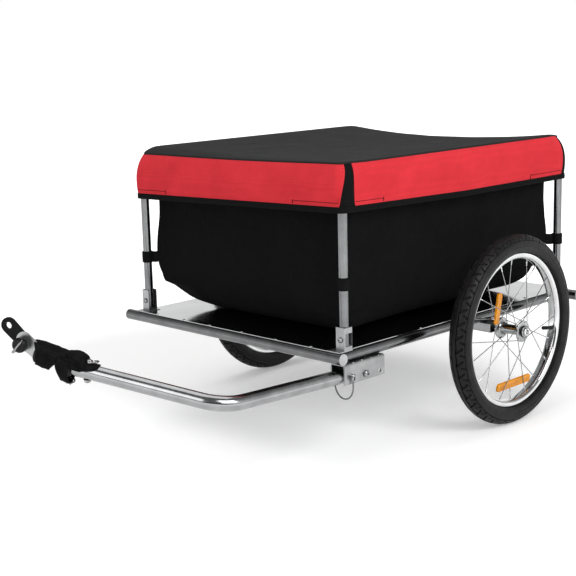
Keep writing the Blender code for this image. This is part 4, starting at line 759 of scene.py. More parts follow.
def build_cross_tubes():
    """Cross tubes, each standing out past one corner of the frame, with their end plugs."""
    reach = {1: (SIDE_Y + LONG_END, SIDE_Y + SHORT_END), -1: (SIDE_Y + SHORT_END, SIDE_Y + LONG_END)}
    for end, (place, x) in {1: ("front", FRONT_X), -1: ("rear", REAR_X)}.items():
        right, left = reach[end]
        path = [(x, PLUG_CAP + GAP - right, FRAME_Z), (x, 0, FRAME_Z), (x, left - PLUG_CAP - GAP, FRAME_Z)]
        piece(place + "_cross_tube_skin", pipe(bmesh.new(), path, TUBE_R, TUBE_WALL, 48), GREY_STEEL, "base",
              [place + "_cross_tube"])
        for side, side_name, length in ((1, "left", left), (-1, "right", right)):
            at = Matrix.Translation((x, side * length, FRAME_Z))
            build_plug(f"{place}_{side_name}", at @ Matrix.Rotation(-side * math.pi / 2, 4, "X"))


def build_side_tube(side, side_name):
    """Side tube whose ends are cut to the round of the cross tubes."""
    y = side * SIDE_Y
    rings = []
    for radius, order in ((TUBE_R, 1), (TUBE_R - TUBE_WALL, -1)):
        pair = []
        for x_end, sign in ((REAR_X, 1), (FRONT_X, -1)):
            ring = []
            for t in turns(48):
                reach_x = math.sqrt(max(0.0, (TUBE_R + GAP) ** 2 - (radius * math.sin(t)) ** 2))
                ring.append((x_end + sign * reach_x, y + radius * math.cos(t),
                             FRAME_Z + radius * math.sin(t)))
            pair.append(ring)
        rings += pair[::order]
    piece(side_name + "_side_tube_skin", loft(bmesh.new(), rings, loop=True), GREY_STEEL, "base",
          [side_name + "_side_tube"])


def build_weld_beads(side, side_name):
    """Rippled beads where a side tube meets the cross tubes."""
    bm = bmesh.new()
    for x_end, sign in ((REAR_X, 1), (FRONT_X, -1)):
        bead = []
        for t in turns(96):
            reach_x = math.sqrt(max(0.0, TUBE_R ** 2 - (TUBE_R * math.sin(t)) ** 2))
            bead.append(Vector((x_end + sign * (reach_x + 0.0012),
                                side * SIDE_Y + (TUBE_R + 0.0003) * math.cos(t),
                                FRAME_Z + (TUBE_R - 0.0004) * math.sin(t))))
        radii = [WELD_R + WELD_RIPPLE * math.sin(i * 1.9) for i in range(len(bead) + 1)]
        loft(bm, rings_along(bead + bead[:1], radii, 10), caps=True)
    piece(side_name + "_weld_beads", bm, ZINC_STEEL, "base")


def build_floor_rivets():
    """Domed rivets that hold the floor on the four tubes."""
    bm = bmesh.new()
    places = [(FRONT_X - 0.0005, y) for y in RIVETS_Y] + [(REAR_X + 0.0005, y) for y in RIVETS_Y[:-1]]
    places += [(x, side * (SIDE_Y - 0.001)) for x in SIDE_RIVETS_X[:-1] for side in (1, -1)]
    dome = [(RIVET_R * math.sin(math.radians(d)), RIVET_RISE * math.cos(math.radians(d)))
            for d in range(0, 91, 15)]
    for x, y in places:
        spun(bm, dome + [(RIVET_R * 0.9, -0.0001), (0, -0.0001)], 24,
             matrix=Matrix.Translation((x, y, FLOOR_TOP_Z + 0.0001)))
    piece("floor_rivets", bm, CHROME, "base")


def build_frame():
    """Tubes, plugs, weld beads and floor rivets."""
    build_cross_tubes()
    for side, side_name in ((1, "left"), (-1, "right")):
        build_side_tube(side, side_name)
        build_weld_beads(side, side_name)
    build_floor_rivets()


def loop_height(end, side):
    """Height of a corner's webbing loop: the near front one sits a little higher."""
    return LOOP_Z + (NEAR_LOOP_RAISED if end == side == 1 else 0)


def build_gate(side, side_name):
    """Gate bent from one tube, and the bag's sleeve on its rail."""
    y, body = side * SIDE_Y, side_name + "_gate"
    path = bent_path([(FRONT_POST_X, y, PIVOT_Z - POST_FOOT), (FRONT_POST_X, y, TOP_Z),
                      (REAR_POST_X, y, TOP_Z), (REAR_POST_X, y, PIVOT_Z - POST_FOOT)], GATE_BEND_R, 18)
    piece(side_name + "_gate_tube", pipe(bmesh.new(), path, POST_R, POST_WALL, 40), GREY_STEEL, body,
          [body])
    stations = (REAR_POST_X + GATE_BEND_R + SLEEVE_TO_BEND, MIDDLE_X - SLEEVE_STATION, MIDDLE_X,
                MIDDLE_X + SLEEVE_STATION, FRONT_POST_X - GATE_BEND_R - SLEEVE_TO_BEND)
    sleeve = [(x, y, TOP_Z) for x in stations]
    piece(side_name + "_sleeve_cloth", pipe(bmesh.new(), sleeve, SLEEVE_R, SLEEVE_R - POST_R - GAP, 32),
          BAG_FABRIC, body)


def build_post_loops(side, side_name):
    """Webbing loop round each post of a gate, with its sewn lap."""
    y, half = side * SIDE_Y, WEBBING_WIDTH / 2
    inner = POST_R + GAP
    outer = inner + WEBBING
    band = [(inner, -half), (outer - 0.0004, -half), (outer, -half + 0.0006), (outer, -0.002),
            (outer - 0.0002, 0), (outer, 0.002), (outer, half - 0.0006), (outer - 0.0004, half),
            (inner, half)]
    lap_r = outer + WEBBING * 0.45
    bm = bmesh.new()
    for end, post_x in ((1, FRONT_POST_X), (-1, REAR_POST_X)):
        loop_z = loop_height(end, side)
        spun(bm, band, 40, loop=True, matrix=Matrix.Translation((post_x, y, loop_z)))
        lap = [(post_x + end * lap_r * math.cos(t), y + side * lap_r * math.sin(t))
               for t in (math.radians(d) for d in range(-20, 81, 10))]
        rows = [[(*p, loop_z + half * k) for p in lap] for k in (-0.92, -0.5, 0, 0.5, 0.92)]
        loft(bm, rows, around=False)
    thick(piece(side_name + "_post_loops", bm, WEBBING_CLOTH, side_name + "_gate"), 0.0009)


def build_gates():
    """Bent tube gates, their sleeves and webbing loops."""
    for side, side_name in ((1, "left"), (-1, "right")):
        build_gate(side, side_name)
        build_post_loops(side, side_name)


def bag_folds(x, y, rise):
    """How far the bag's cloth stands out in folds at a place."""
    return (BROAD_FOLD * ruffle((x, y, rise * 0.45), 9.0, 1.0)
            + SLANT_FOLD * ruffle((x + 0.9 * rise, y + 0.9 * rise, rise * 0.3), 17.0, 4.0)
            + FINE_FOLD * ruffle((x, y, rise), 40.0, 7.0) - FOLDS_INWARD)


def bag_row(rise):
    """One level of the bag all the way round, at a height above its bottom."""
    top_rise = BAG_LEVELS[-1][0]
    half_rim = SIDE_Y - POST_R - 2 * GAP - BAG_RIM_INSET
    front_back, rear_back, half = smoothed(BAG_LEVELS, rise)
    ends = (REAR_POST_X + BAG_SETBACK + rear_back, FRONT_POST_X - BAG_SETBACK - front_back)
    outline = rounded_rectangle(*ends, half, BAG_CORNER_R, BAG_LONG, BAG_SHORT, BAG_CORNER)
    share = rise / top_rise
    free = math.sin(math.pi * min(1.0, max(0.0, (rise - 0.006) / (top_rise - 0.02)))) ** 0.7
    low_share = math.exp(-((rise - LOW_DRAPE_AT) / LOW_DRAPE_REACH) ** 2)
    row = []
    for index, (x, y) in enumerate(outline):
        after, before = outline[(index + 1) % len(outline)], outline[index - 1]
        out = Vector((after[1] - before[1], before[0] - after[0], 0)).normalized()
        sag = BAG_RIM_SAG * (1 - min(1.0, abs(y) / half_rim) ** 2) * share ** 2
        seat = y ** 3 / (y ** 2 + 0.0009)
        move = bag_folds(x, seat, rise) * free
        low_drape = LOW_DRAPE * ruffle((x, seat, 0), 11.0, 9.0) * low_share
        forward = x > MIDDLE_X
        corner = Vector((ends[1] if forward else ends[0], math.copysign(half, y)))
        near = math.exp(-((Vector((x, y)) - corner).length / BAG_PULL_REACH) ** 2)
        pull = straight(BAG_CORNER_PULL, rise) + (0 if forward else straight(BAG_REAR_PULL, rise))
        drawn = near * pull * math.sqrt(0.5)
        row.append((x + out.x * move + (drawn if forward else -drawn),
                    y + out.y * move + math.copysign(drawn, y),
                    FLOOR_TOP_Z + GAP + max(0.0, rise - sag + min(0.0, low_drape))))
    return row


def build_loop_tab(place, end, side_name, side):
    """Strip of webbing from the bag's corner to the loop on the post."""
    post_x = FRONT_POST_X if end > 0 else REAR_POST_X
    loop_z = loop_height(end, side)
    inset_x, inset_y = LOOP_TAB_INSET[place]
    post = Vector((post_x, side * SIDE_Y, loop_z))
    corner = Vector((post_x - end * (BAG_SETBACK + inset_x), side * (BAG_SIDE - inset_y), loop_z))
    away = (post - corner).normalized()
    across = away.cross(Vector((0, 0, 1)))
    half = WEBBING_WIDTH / 2 - GAP
    rows = []
    for i in range(7):
        at = corner.lerp(post - away * (POST_R + WEBBING), i / 6)
        droop = LOOP_TAB_DROOP * math.sin(math.pi * i / 6)
        rows.append([at + across * LOOP_TAB_SHIFT * side + Vector((0, 0, half * k - droop))
                     for k in (-1, -0.5, 0, 0.5, 1)])
    tab = piece(f"{place}_{side_name}_loop_tab", loft(bmesh.new(), rows, around=False), WEBBING_CLOTH, None,
                outward=False)
    thick(tab, LOOP_TAB)
    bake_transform(tab)


def build_bag():
    """Open bag in two halves that meet in the middle; ring tabs."""
    top_rise = BAG_LEVELS[-1][0]
    rises = list(BAG_LOW_RISES)
    rises += [BAG_WALL_FROM + (top_rise - BAG_WALL_FROM) * i / BAG_WALL_STEPS
              for i in range(BAG_WALL_STEPS + 1)]
    walls = [bag_row(rise) for rise in rises]
    base_row = walls[0]
    bottom = [[(MIDDLE_X + (x - MIDDLE_X) * s, y * s, FLOOR_TOP_Z + GAP) for x, y, z in base_row]
              for s in (0.0, 0.2, 0.4, 0.6, 0.8)]
    count = len(base_row)
    front_middle = BAG_CORNER + BAG_SHORT // 2
    for side, side_name in ((1, "left"), (-1, "right")):
        start = front_middle if side > 0 else front_middle + count // 2
        columns = [(start + i) % count for i in range(count // 2 + 1)]
        bm = loft(bmesh.new(), [[row[i] for i in columns] for row in bottom + walls], around=False)
        half_bag = piece(side_name + "_bag_half", bm, BAG_FABRIC, None,
                         ["cargo_bag"] if side > 0 else (), sharp_deg=60, outward=False)
        thick(half_bag, BAG_CLOTH)
        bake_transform(half_bag)
        for place, end in (("front", 1), ("rear", -1)):
            build_loop_tab(place, end, side_name, side)


# Building the cover
def cover_height(x, y):
    """Height of the cover's top, which lies on the rails, sags between them and drops at both ends."""
    ahead = x > MIDDLE_X
    drop_right, drop_left = DROP_FRONT if ahead else DROP_REAR
    past_middle = abs(x - MIDDLE_X)
    post = (FRONT_POST_X - REAR_POST_X) / 2
    end = post + POST_R + COVER_END_EASE
    past_bend = max(0.0, past_middle - (post - GATE_BEND_R)) / (end - post + GATE_BEND_R)
    drop = (drop_right + (drop_left - drop_right) * (y / SIDE_Y + 1) / 2) * past_bend ** 2
    toward_end = max(0.0, past_middle - post / 2) / (end - post / 2)
    sag = SAG_MIDDLE + ((SAG_FRONT if ahead else SAG_REAR) - SAG_MIDDLE) * toward_end ** 2
    steep = CREST_STEEPNESS
    if not ahead:
        steep += (REAR_STEEPNESS - CREST_STEEPNESS) * toward_end
    across = max(0.0, 1 - (y / SIDE_Y) ** 2) ** steep
    return TOP_Z + SLEEVE_R + GAP + COVER_CLOTH - drop - sag * across


def cover_hem(x, y):
    """Height of the seam above the hem, which rises or falls a little toward the front."""
    forward = max(0.0, (x - MIDDLE_X) / (FRONT_POST_X - MIDDLE_X))
    return HEM_Z + HEM_TILT * forward * y / SIDE_Y


def cover_outline(inset):
    """The cover seen from above, drawn in by an inset."""
    return rounded_rectangle(REAR_POST_X - POST_R - COVER_END_EASE + inset,
                             FRONT_POST_X + POST_R + COVER_END_EASE - inset,
                             SIDE_Y + POST_R + COVER_SIDE_EASE - inset, COVER_CORNER_R - inset, LONG, SHORT)


def tucked(x, y, rise):
    """A point of the cover drawn in toward the top, over the bends of the gates."""
    half = (FRONT_POST_X - REAR_POST_X) / 2 + POST_R + COVER_END_EASE
    near = min(1.0, max(0.0, (abs(x - MIDDLE_X) - half + COVER_TUCK_REACH) / COVER_TUCK_REACH))
    near = near * near * (3 - 2 * near) * COVER_TUCK
    rise = min(1.0, max(0.0, rise))
    across = min(1.0, abs(y) / (SIDE_Y + POST_R + COVER_SIDE_EASE)) ** 3
    return (x - math.copysign(near * rise ** 2, x - MIDDLE_X),
            y - math.copysign(near * rise ** 6 * across, y))


def skirt_row(rise, bulge=BULGE, proud=0.0, waves=0.0008):
    """One level of the skirt all the way round, rise 0 at the hem seam and 1 at the top edge."""
    outline = cover_outline(0)
    row = []
    for index, (x, y) in enumerate(outline):
        after, before = outline[(index + 1) % len(outline)], outline[index - 1]
        out = Vector((after[1] - before[1], before[0] - after[0])).normalized()
        lowest, highest = cover_hem(x, y), cover_height(x, y) - EDGE_ROUND
        belly = math.sin(math.pi * min(1.0, max(0.0, rise)))
        puff = bulge * belly + proud + waves * ruffle((x, y, 0.05 * rise), 22.0, 3.0) * belly ** 0.5
        x, y = tucked(x, y, rise)
        row.append(Vector((x + out.x * puff, y + out.y * puff, lowest + (highest - lowest) * rise)))
    return row


def outline_point(row, start, distance):
    """The point at a distance along a closed row of points, counted from one of them."""
    step = 1 if distance >= 0 else -1
    index, left = start, abs(distance)
    while True:
        here, onward = row[index % len(row)], row[(index + step) % len(row)]
        stretch = (onward - here).length
        if left <= stretch:
            return here.lerp(onward, left / stretch)
        left -= stretch
        index += step


def strip_reach(end, on_side, level):
    """How far a black corner strip reaches from its corner, along the side or the end, at a level."""
    low, high = STRIP_REACH[end, on_side]
    return low + (high - low) * level ** 0.8


def build_cover_top():
    """Black top, rolled over at its edge, sagging between the rails and lightly creased."""
    rows = []
    for inset, sink in ((0, 1), (0, 0.6), (0.1, 0.34), (0.33, 0.12), (0.67, 0.02), (1, 0)):
        rows.append([(*tucked(x, y, 1), cover_height(x, y) - sink * EDGE_ROUND)
                     for x, y in cover_outline(inset * EDGE_ROUND)])
    inner = cover_outline(EDGE_ROUND)
    for share in [0.975, 0.95, 0.92] + [0.9 - 0.9 * i / 17 for i in range(18)]:
        row = []
        for x, y in inner:
            x, y = MIDDLE_X + (x - MIDDLE_X) * share, y * share
            crease = 0.0010 * ruffle((x, y * 1.6, 0), 8.0, 2.0)
            crease += 0.0005 * ruffle((x + y, y - x, 0), 20.0, 5.0)
            row.append((*tucked(x, y, 1), cover_height(x, y) + (crease - 0.0006) * (1 - share ** 6)))
        rows.append(row)
    top = piece("cover_top_sheet", loft(bmesh.new(), rows), TOP_CLOTH, "cover",
                ["cover_top"], sharp_deg=70, outward=False)
    thick(top, 0.0014)


def build_cover_panels(corners):
    """Four red panels between the corner strips, each cut to the length of its seam."""
    levels = [i / SKIRT_STEPS for i in range(SKIRT_STEPS + 1)]
    skirt = [skirt_row(level) for level in levels]
    columns = len(skirt[0])
    for index, (place, steps, ends) in enumerate((
            ("left", LONG, ("front", "rear")), ("rear", SHORT, ("rear", "rear")),
            ("right", LONG, ("rear", "front")), ("front", SHORT, ("front", "front")))):
        panel, start, following = [], corners[index], corners[(index + 1) % 4]
        on_side = place in ("left", "right")
        for level, row in zip(levels, skirt):
            length = sum((row[(start + k + 1) % columns] - row[(start + k) % columns]).length
                         for k in range((following - start) % columns))
            first = strip_reach(ends[0], on_side, level)
            last = length - strip_reach(ends[1], on_side, level)
            panel.append([outline_point(row, start, first + (last - first) * i / (steps + CORNER))
                          for i in range(steps + CORNER + 1)])
        panel[0] = [point + Vector((0, 0, GAP)) for point in panel[0]]
        made = piece(f"cover_{place}_cloth", loft(bmesh.new(), panel, around=False), RED, "cover",
                     [f"cover_{place}_panel"], sharp_deg=70, outward=False)
        thick(made, 0.0016)


def build_cover_hem():
    """Black band sewn round the lower edge of the skirt."""
    rows = []
    outline = cover_outline(0)
    for drop, proud in ((HEM_HEIGHT, -0.0014), (HEM_HEIGHT, -0.0002), (HEM_HEIGHT - 0.0008, 0.0004),
                        (0.0045, 0.0002), (0.0008, 0.0006), (0.0, 0.0), (0.0, -0.0014)):
        row = []
        for index, (x, y) in enumerate(outline):
            after, before = outline[(index + 1) % len(outline)], outline[index - 1]
            out = Vector((after[1] - before[1], before[0] - after[0])).normalized()
            sway = 0.0008 * ruffle((x, y, 0), 26.0, 6.0)
            row.append((x + out.x * (proud + sway), y + out.y * (proud + sway),
                        cover_hem(x, y) - drop + sway * 0.6))
        rows.append(row)
    piece("cover_hem_band", loft(bmesh.new(), rows, loop=True), TRIM_CLOTH, "cover",
          ["cover_trim"], sharp_deg=60)


def build_cover_strips(corners):
    """Black strips over the four corners, wider at the hem than above."""
    for start, corner in zip(corners, ("front_left", "rear_left", "rear_right", "front_right")):
        end, left = corner.split("_")[0], corner.endswith("left")
        rows = []
        for level in [i / STRIP_STEPS for i in range(STRIP_STEPS + 1)]:
            row = skirt_row(level, BULGE, -0.0009)
            side_reach = strip_reach(end, True, level) + STRIP_LAP
            end_reach = strip_reach(end, False, level) + STRIP_LAP
            low, high = (end_reach, side_reach) if (end == "front") == left else (side_reach, end_reach)
            rows.append([outline_point(row, start, -low + (low + high) * i / STRIP_STEPS)
                         for i in range(STRIP_STEPS + 1)])
        made = piece(f"cover_{corner}_strip", loft(bmesh.new(), rows, around=False), TRIM_CLOTH, "cover",
                     sharp_deg=70, outward=False)
        thick(made, 0.0010)


def build_cover_stitching(corners):
    """Stitches round the hem, and the lines that run out from each corner strip."""
    bm = bmesh.new()
    row = skirt_row(-0.075, BULGE, 0.0009, 0.0)
    path = row + row[:1]
    stitches(bm, path, [((b - a).y, -(b - a).x, 0) for a, b in zip(path, path[1:])])
    row = skirt_row(STITCH_LEVEL, BULGE, 0.0004)
    ticks = [skirt_row(STITCH_LEVEL * share, BULGE, 0.0004) for share in (1.3, 0.6, 0.0)]
    for start, (end, side_first, *lengths) in zip(corners, STITCHED):
        for way, on_side, reach in zip((-1, 1), (side_first, not side_first), lengths):
            first = strip_reach(end, on_side, STITCH_LEVEL) + 0.002
            path = [outline_point(row, start, way * (first + (reach - first) * i / 24)) for i in range(25)]
            normals = [(way * (b - a).y, -way * (b - a).x, 0) for a, b in zip(path, path[1:])]
            stitches(bm, path, normals, 0.0040, 0.0005)
            end_of_line = [outline_point(level, start, way * reach) for level in ticks]
            stitches(bm, end_of_line, normals[-1:] * 2, 0.0038, 0.0009)
    piece("cover_stitching", bm, THREAD, "cover")


def build_cover():
    """Rain cover: sagging black top, four red panels, hem, corner strips and stitching."""
    corners = [CORNER // 2 + i for i in (CORNER + SHORT, 2 * CORNER + SHORT + LONG,
                                         3 * CORNER + 2 * SHORT + LONG, 0)]
    build_cover_top()
    build_cover_panels(corners)
    build_cover_hem()
    build_cover_strips(corners)
    build_cover_stitching(corners)


# Building the wheels
def wheel_frame(side):
    """The wheel's own frame: its +Z points outward."""
    return Matrix.Translation((0, side * WHEEL_Y, TYRE_R)) @ Matrix.Rotation(-side * math.pi / 2, 4, "X")


def tread(share, turn):
    """Depth of the tread at a place: share runs from -1 to 1 across it, turn counts pitches."""
    shift = 0.0 if share > 0 else 0.5
    across = abs(share)
    zigzag = abs(((turn + shift) % 1.0) * 2 - 1)
    slanted = (turn + shift + 0.55 * across) % 1.0
    side_cut = (turn + shift - 0.45 * across + 0.18) % 1.0
    depth = 0.0
    if abs(across - (0.16 + 0.08 * zigzag)) < 0.035:
        depth = 1.0
    if 0.24 < across < 0.80 and abs(slanted - 0.5) < 0.10 - 0.05 * across:
        depth = 1.0
    if 0.50 < across < 0.93 and abs(side_cut - 0.5) < 0.055:
        depth = max(depth, 0.8)
    if abs(across - 0.965) < 0.016:
        depth = 0.6
    return depth


def tyre_row(degrees, crown, round_r, around):
    """One round of the tyre's outside, at an angle across it, with the tread or a wall rib."""
    a, share = math.radians(degrees), degrees / TREAD_HALF_DEG
    ribbed = 70 <= abs(degrees) <= 73 or 91 <= abs(degrees) <= 93
    row = []
    for i in range(around):
        deep = WALL_BACK - (WALL_RIB if ribbed else 0.0)
        if abs(share) <= 1:
            deep = TREAD_DEPTH * tread(share, i / TREAD_COLUMNS)
        if abs(degrees) > 100:
            deep = 0.0
        t = 2 * math.pi * i / around
        radius = crown + (round_r - deep) * math.cos(a)
        row.append((radius * math.cos(t), radius * math.sin(t), (round_r - deep) * math.sin(a)))
    return row


def build_tyre(side_name, side):
    """Tyre with block tread, shoulder ribs and plain side walls."""
    round_r = TYRE_WIDTH / 2
    crown = TYRE_R - round_r
    around = TREAD_PITCHES * TREAD_COLUMNS
    across = [i * TREAD_HALF_DEG / TREAD_STEPS for i in range(-TREAD_STEPS, TREAD_STEPS + 1)]
    across = [-a for a in reversed(WALL_DEGREES)] + across + list(WALL_DEGREES)
    rows = [tyre_row(degrees, crown, round_r, around) for degrees in across]
    bead_r, bead_z = RIM_R - RIM_SEAT + GAP, RIM_WIDTH / 2 - BEAD_INSET
    inner_r = round_r - TYRE_CASING
    over_rim = RIM_R + 2 * GAP
    profile = [(over_rim, bead_z), (bead_r, bead_z), (bead_r, bead_z - BEAD_WIDTH),
               (over_rim, bead_z - BEAD_WIDTH)]
    profile += [(crown + inner_r * math.cos(math.radians(d)), inner_r * math.sin(math.radians(d)))
                for d in (112, 75, 37, 0, -37, -75, -112)]
    profile += [(r, -z) for r, z in reversed(profile[:4])]
    rows += [[(r * math.cos(t), r * math.sin(t), z) for t in turns(around)] for r, z in profile]
    piece(side_name + "_tyre_tread", loft(bmesh.new(), rows, loop=True), TYRE_RUBBER, side_name + "_wheel",
          [side_name + "_tyre"], wheel_frame(side), sharp_deg=30)


def spoke_ends():
    """Start, elbow and rim end of every spoke, and the way it leans."""
    found = []
    for index in range(SPOKES):
        flange = 1 if index % 2 == 0 else -1
        lean = 1 if (index // 2) % 2 == 0 else -1
        rim_angle = math.radians(index * 360 / SPOKES)
        hub_angle = rim_angle + math.radians(lean * SPOKE_LEAD_DEG)
        rim_r = RIM_R - RIM_DEPTH - SPOKE_TO_RIM
        hub = Vector((SPOKE_HOLE_R * math.cos(hub_angle), SPOKE_HOLE_R * math.sin(hub_angle),
                      flange * HUB_FLANGE_AT))
        end = Vector((rim_r * math.cos(rim_angle), rim_r * math.sin(rim_angle), flange * SPOKE_RIM_OFFSET))
        found.append((hub, hub + Vector((0, 0, lean * SPOKE_ELBOW)), end, lean))
    return found


def build_rim(side_name, at):
    """Chromed rim with rolled lips, and darker grey steel as painted shade on some faces that look along its
    radius.
    """
    half, inner = RIM_WIDTH / 2, RIM_R - RIM_DEPTH
    flank = [(inner, 0), (inner + 0.0002, 0.004), (inner + 0.0012, 0.0085), (inner + 0.0032, 0.0112),
             (inner + 0.0052, half - 0.0002), (RIM_R - 0.0036, half - 0.0002), (RIM_R - 0.0030, half),
             (RIM_R - 0.0006, half), (RIM_R, half - 0.0005), (RIM_R - 0.0004, half - 0.0014),
             (RIM_R - RIM_SEAT, half - 0.0015), (RIM_R - RIM_WELL, 0.005), (RIM_R - RIM_WELL, 0)]
    profile = flank[:-1] + [(r, -z) for r, z in reversed(flank[1:])]
    bm = spun(bmesh.new(), profile, 160, loop=True)
    bm.normal_update()
    # Spoke-side faces that look toward the hub and well faces that look outward get grey steel: painted shade
    # for dark reflections on the rim's inside.
    for face in bm.faces:
        middle = face.calc_center_median()
        toward = 1 if middle.xy.length < inner + 0.006 else -1
        if face.normal.xy.dot(middle.xy.normalized()) * toward < -0.5:
            face.material_index = 1
    hoop = piece(side_name + "_rim_hoop", bm, CHROME, side_name + "_wheel",
                 [side_name + "_rim"], at, sharp_deg=50)
    hoop.data.materials.append(GREY_STEEL)


def build_hub(side_name, at):
    """Hub shell with two flanges, and a black dust cap at each end."""
    edge = 0.0004
    flange_out, flange_in = HUB_FLANGE_AT + HUB_FLANGE_THICK / 2, HUB_FLANGE_AT - HUB_FLANGE_THICK / 2
    half_shell = [(AXLE_R + GAP, HUB_HALF), (HUB_END_R - 0.002, HUB_HALF),
                  (HUB_END_R - 0.001, HUB_HALF - 0.0008), (HUB_END_R - 0.001, flange_out + 0.001),
                  (HUB_END_R + 0.001, flange_out), (HUB_FLANGE_R - edge, flange_out),
                  (HUB_FLANGE_R, flange_out - edge), (HUB_FLANGE_R, flange_in + edge),
                  (HUB_FLANGE_R - edge, flange_in), (HUB_BARREL_R + 0.005, flange_in),
                  (HUB_BARREL_R + 0.0015, flange_in - 0.002), (HUB_BARREL_R, flange_in - 0.005)]
    shell = half_shell + [(r, -z) for r, z in reversed(half_shell)]
    piece(side_name + "_hub_shell", spun(bmesh.new(), shell, 72, loop=True), BRIGHT_STEEL,
          side_name + "_wheel", [side_name + "_hub"], at, sharp_deg=40)
    cap = [(HUB_END_R - 0.0008, flange_out + 0.0002), (DUST_CAP_R, flange_out + 0.0002),
           (DUST_CAP_R, HUB_HALF - 0.0022), (DUST_CAP_R - 0.0014, HUB_HALF - 0.0008),
           (HUB_END_R, HUB_HALF - 0.0005), (HUB_END_R - 0.0008, HUB_HALF - 0.0008)]
    bm = bmesh.new()
    for sign in (1, -1):
        spun(bm, [(r, sign * z) for r, z in cap], 64, loop=True)
    piece(side_name + "_dust_caps", bm, BLACK_PLASTIC, side_name + "_wheel", at=at)


def build_spokes(side_name, at):
    """Crossed spokes with bent, headed ends, and the nipples that hold them at the rim."""
    spokes, nipples = bmesh.new(), bmesh.new()
    head_shape = [(0, -0.0006), (0.0012, -0.0005), (0.0017, 0.0), (0.0017, 0.0003), (0.0009, 0.0009),
                  (0, 0.0009)]
    nipple_shape = [(0, 0), (SPOKE_R * 1.25, 0), (SPOKE_R * 1.5, 0.0008), (SPOKE_R * 1.5, 0.005),
                    (NIPPLE_R * 0.9, 0.0062), (NIPPLE_R, 0.0095), (NIPPLE_R, NIPPLE_LENGTH),
                    (0, NIPPLE_LENGTH)]
    for hub_at, elbow, end, lean in spoke_ends():
        along = (end - elbow).normalized()
        head = hub_at - Vector((0, 0, lean * SPOKE_HEAD_BACK))
        bend = [head, hub_at, hub_at.lerp(elbow, 0.6) + along * 0.0003, elbow + along * 0.0016]
        route = bend + [elbow.lerp(end, 0.3), elbow.lerp(end, 0.6), end - along * NIPPLE_LENGTH / 2]
        loft(spokes, rings_along(route, [SPOKE_R] * len(route), 12), caps=True)
        turn = Matrix.Translation(head) @ Matrix.Rotation(0 if lean > 0 else math.pi, 4, "X")
        spun(spokes, head_shape, 14, matrix=turn)
        aim = Vector((0, 0, 1)).rotation_difference(along).to_matrix().to_4x4()
        spun(nipples, nipple_shape, 12, matrix=Matrix.Translation(end - along * NIPPLE_LENGTH) @ aim)
    body = side_name + "_wheel"
    piece(side_name + "_spoke_set", spokes, SPOKE_STEEL, body, at=at)
    piece(side_name + "_nipples", nipples, CHROME, body, at=at)


def build_axle(side_name, at):
    """Stub axle with a domed cap, and the release button in the cap."""
    cap_z = HUB_HALF + GAP
    top = cap_z + AXLE_CAP
    point = -HUB_HALF - AXLE_PAST_HUB
    dome = [(AXLE_CAP_R * math.sin(math.radians(d)), top - 0.0022 + 0.0022 * math.cos(math.radians(d)))
            for d in (34, 48, 62, 76, 90)]
    recess = [(0, top - 0.008), (BUTTON_R + GAP, top - 0.008), (BUTTON_R + GAP, top - 0.0005)]
    shaft = [(AXLE_CAP_R, cap_z), (AXLE_R, cap_z), (AXLE_R, point + 0.0015), (AXLE_R - 0.0015, point),
             (0, point)]
    piece(side_name + "_axle_pin", spun(bmesh.new(), recess + dome + shaft, 48), CHROME,
          side_name + "_axle", [side_name + "_axle"], at)
    button = [(0, top + 0.0020), (BUTTON_R * 0.55, top + 0.0019), (BUTTON_R * 0.85, top + 0.0014),
              (BUTTON_R, top + 0.0004), (BUTTON_R, top - BUTTON_DEPTH), (0, top - BUTTON_DEPTH)]
    piece(side_name + "_button_cap", spun(bmesh.new(), button, 36), BRIGHT_STEEL, side_name + "_button",
          [side_name + "_axle_button"], at)


def build_valve(side_name, at):
    """Rubber valve stem with a threaded tip, pointing from the rim to the hub."""
    angle = math.radians(VALVE_ANGLE_DEG)
    base_r = RIM_R - RIM_WELL + VALVE_OUT
    stem = [(0, 0), (VALVE_R, 0), (VALVE_R, 0.006), (VALVE_R - 0.0002, 0.010), (VALVE_R - 0.0006, 0.021),
            (VALVE_R - 0.0003, 0.0215), (VALVE_R - 0.0003, 0.0225), (VALVE_R, 0.0228)]
    for i in range(VALVE_THREADS):
        z = VALVE_THREAD_AT + VALVE_PITCH * i
        stem += [(VALVE_R, z), (VALVE_R - 0.0003, z + 0.0006), (VALVE_R, z + 0.0016)]
    stem += [(VALVE_R - 0.0006, VALVE_LENGTH - 0.0008), (VALVE_R - 0.0014, VALVE_LENGTH), (0, VALVE_LENGTH)]
    inward = Matrix.Translation((base_r * math.cos(angle), base_r * math.sin(angle), 0))
    inward = inward @ Matrix.Rotation(angle, 4, "Z") @ Matrix.Rotation(-math.pi / 2, 4, "Y")
    piece(side_name + "_valve", spun(bmesh.new(), stem, 24), RUBBER, side_name + "_wheel",
          [side_name + "_valve_stem"], at @ inward)


def build_wheel(side_name, side):
    """Rim, hub, spokes, axle, valve and two reflectors, which lie where their CAD nodes do."""
    at = wheel_frame(side)
    build_rim(side_name, at)
    build_hub(side_name, at)
    build_spokes(side_name, at)
    build_axle(side_name, at)
    build_valve(side_name, at)
    for place, (size, turn_deg) in (("lower", LOW_REFLECTOR), ("upper", HIGH_REFLECTOR)):
        node = f"{side_name}_{place}_reflector"
        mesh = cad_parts[node].data
        centre = sum((v.co for v in mesh.vertices), Vector()) / len(mesh.vertices)
        turn = at.to_3x3().to_4x4() @ Euler([math.radians(d) for d in turn_deg]).to_matrix().to_4x4()
        build_reflector(node, size, INTO_ROW.inverted() @ Matrix.Translation(centre) @ turn,
                        side_name + "_wheel")


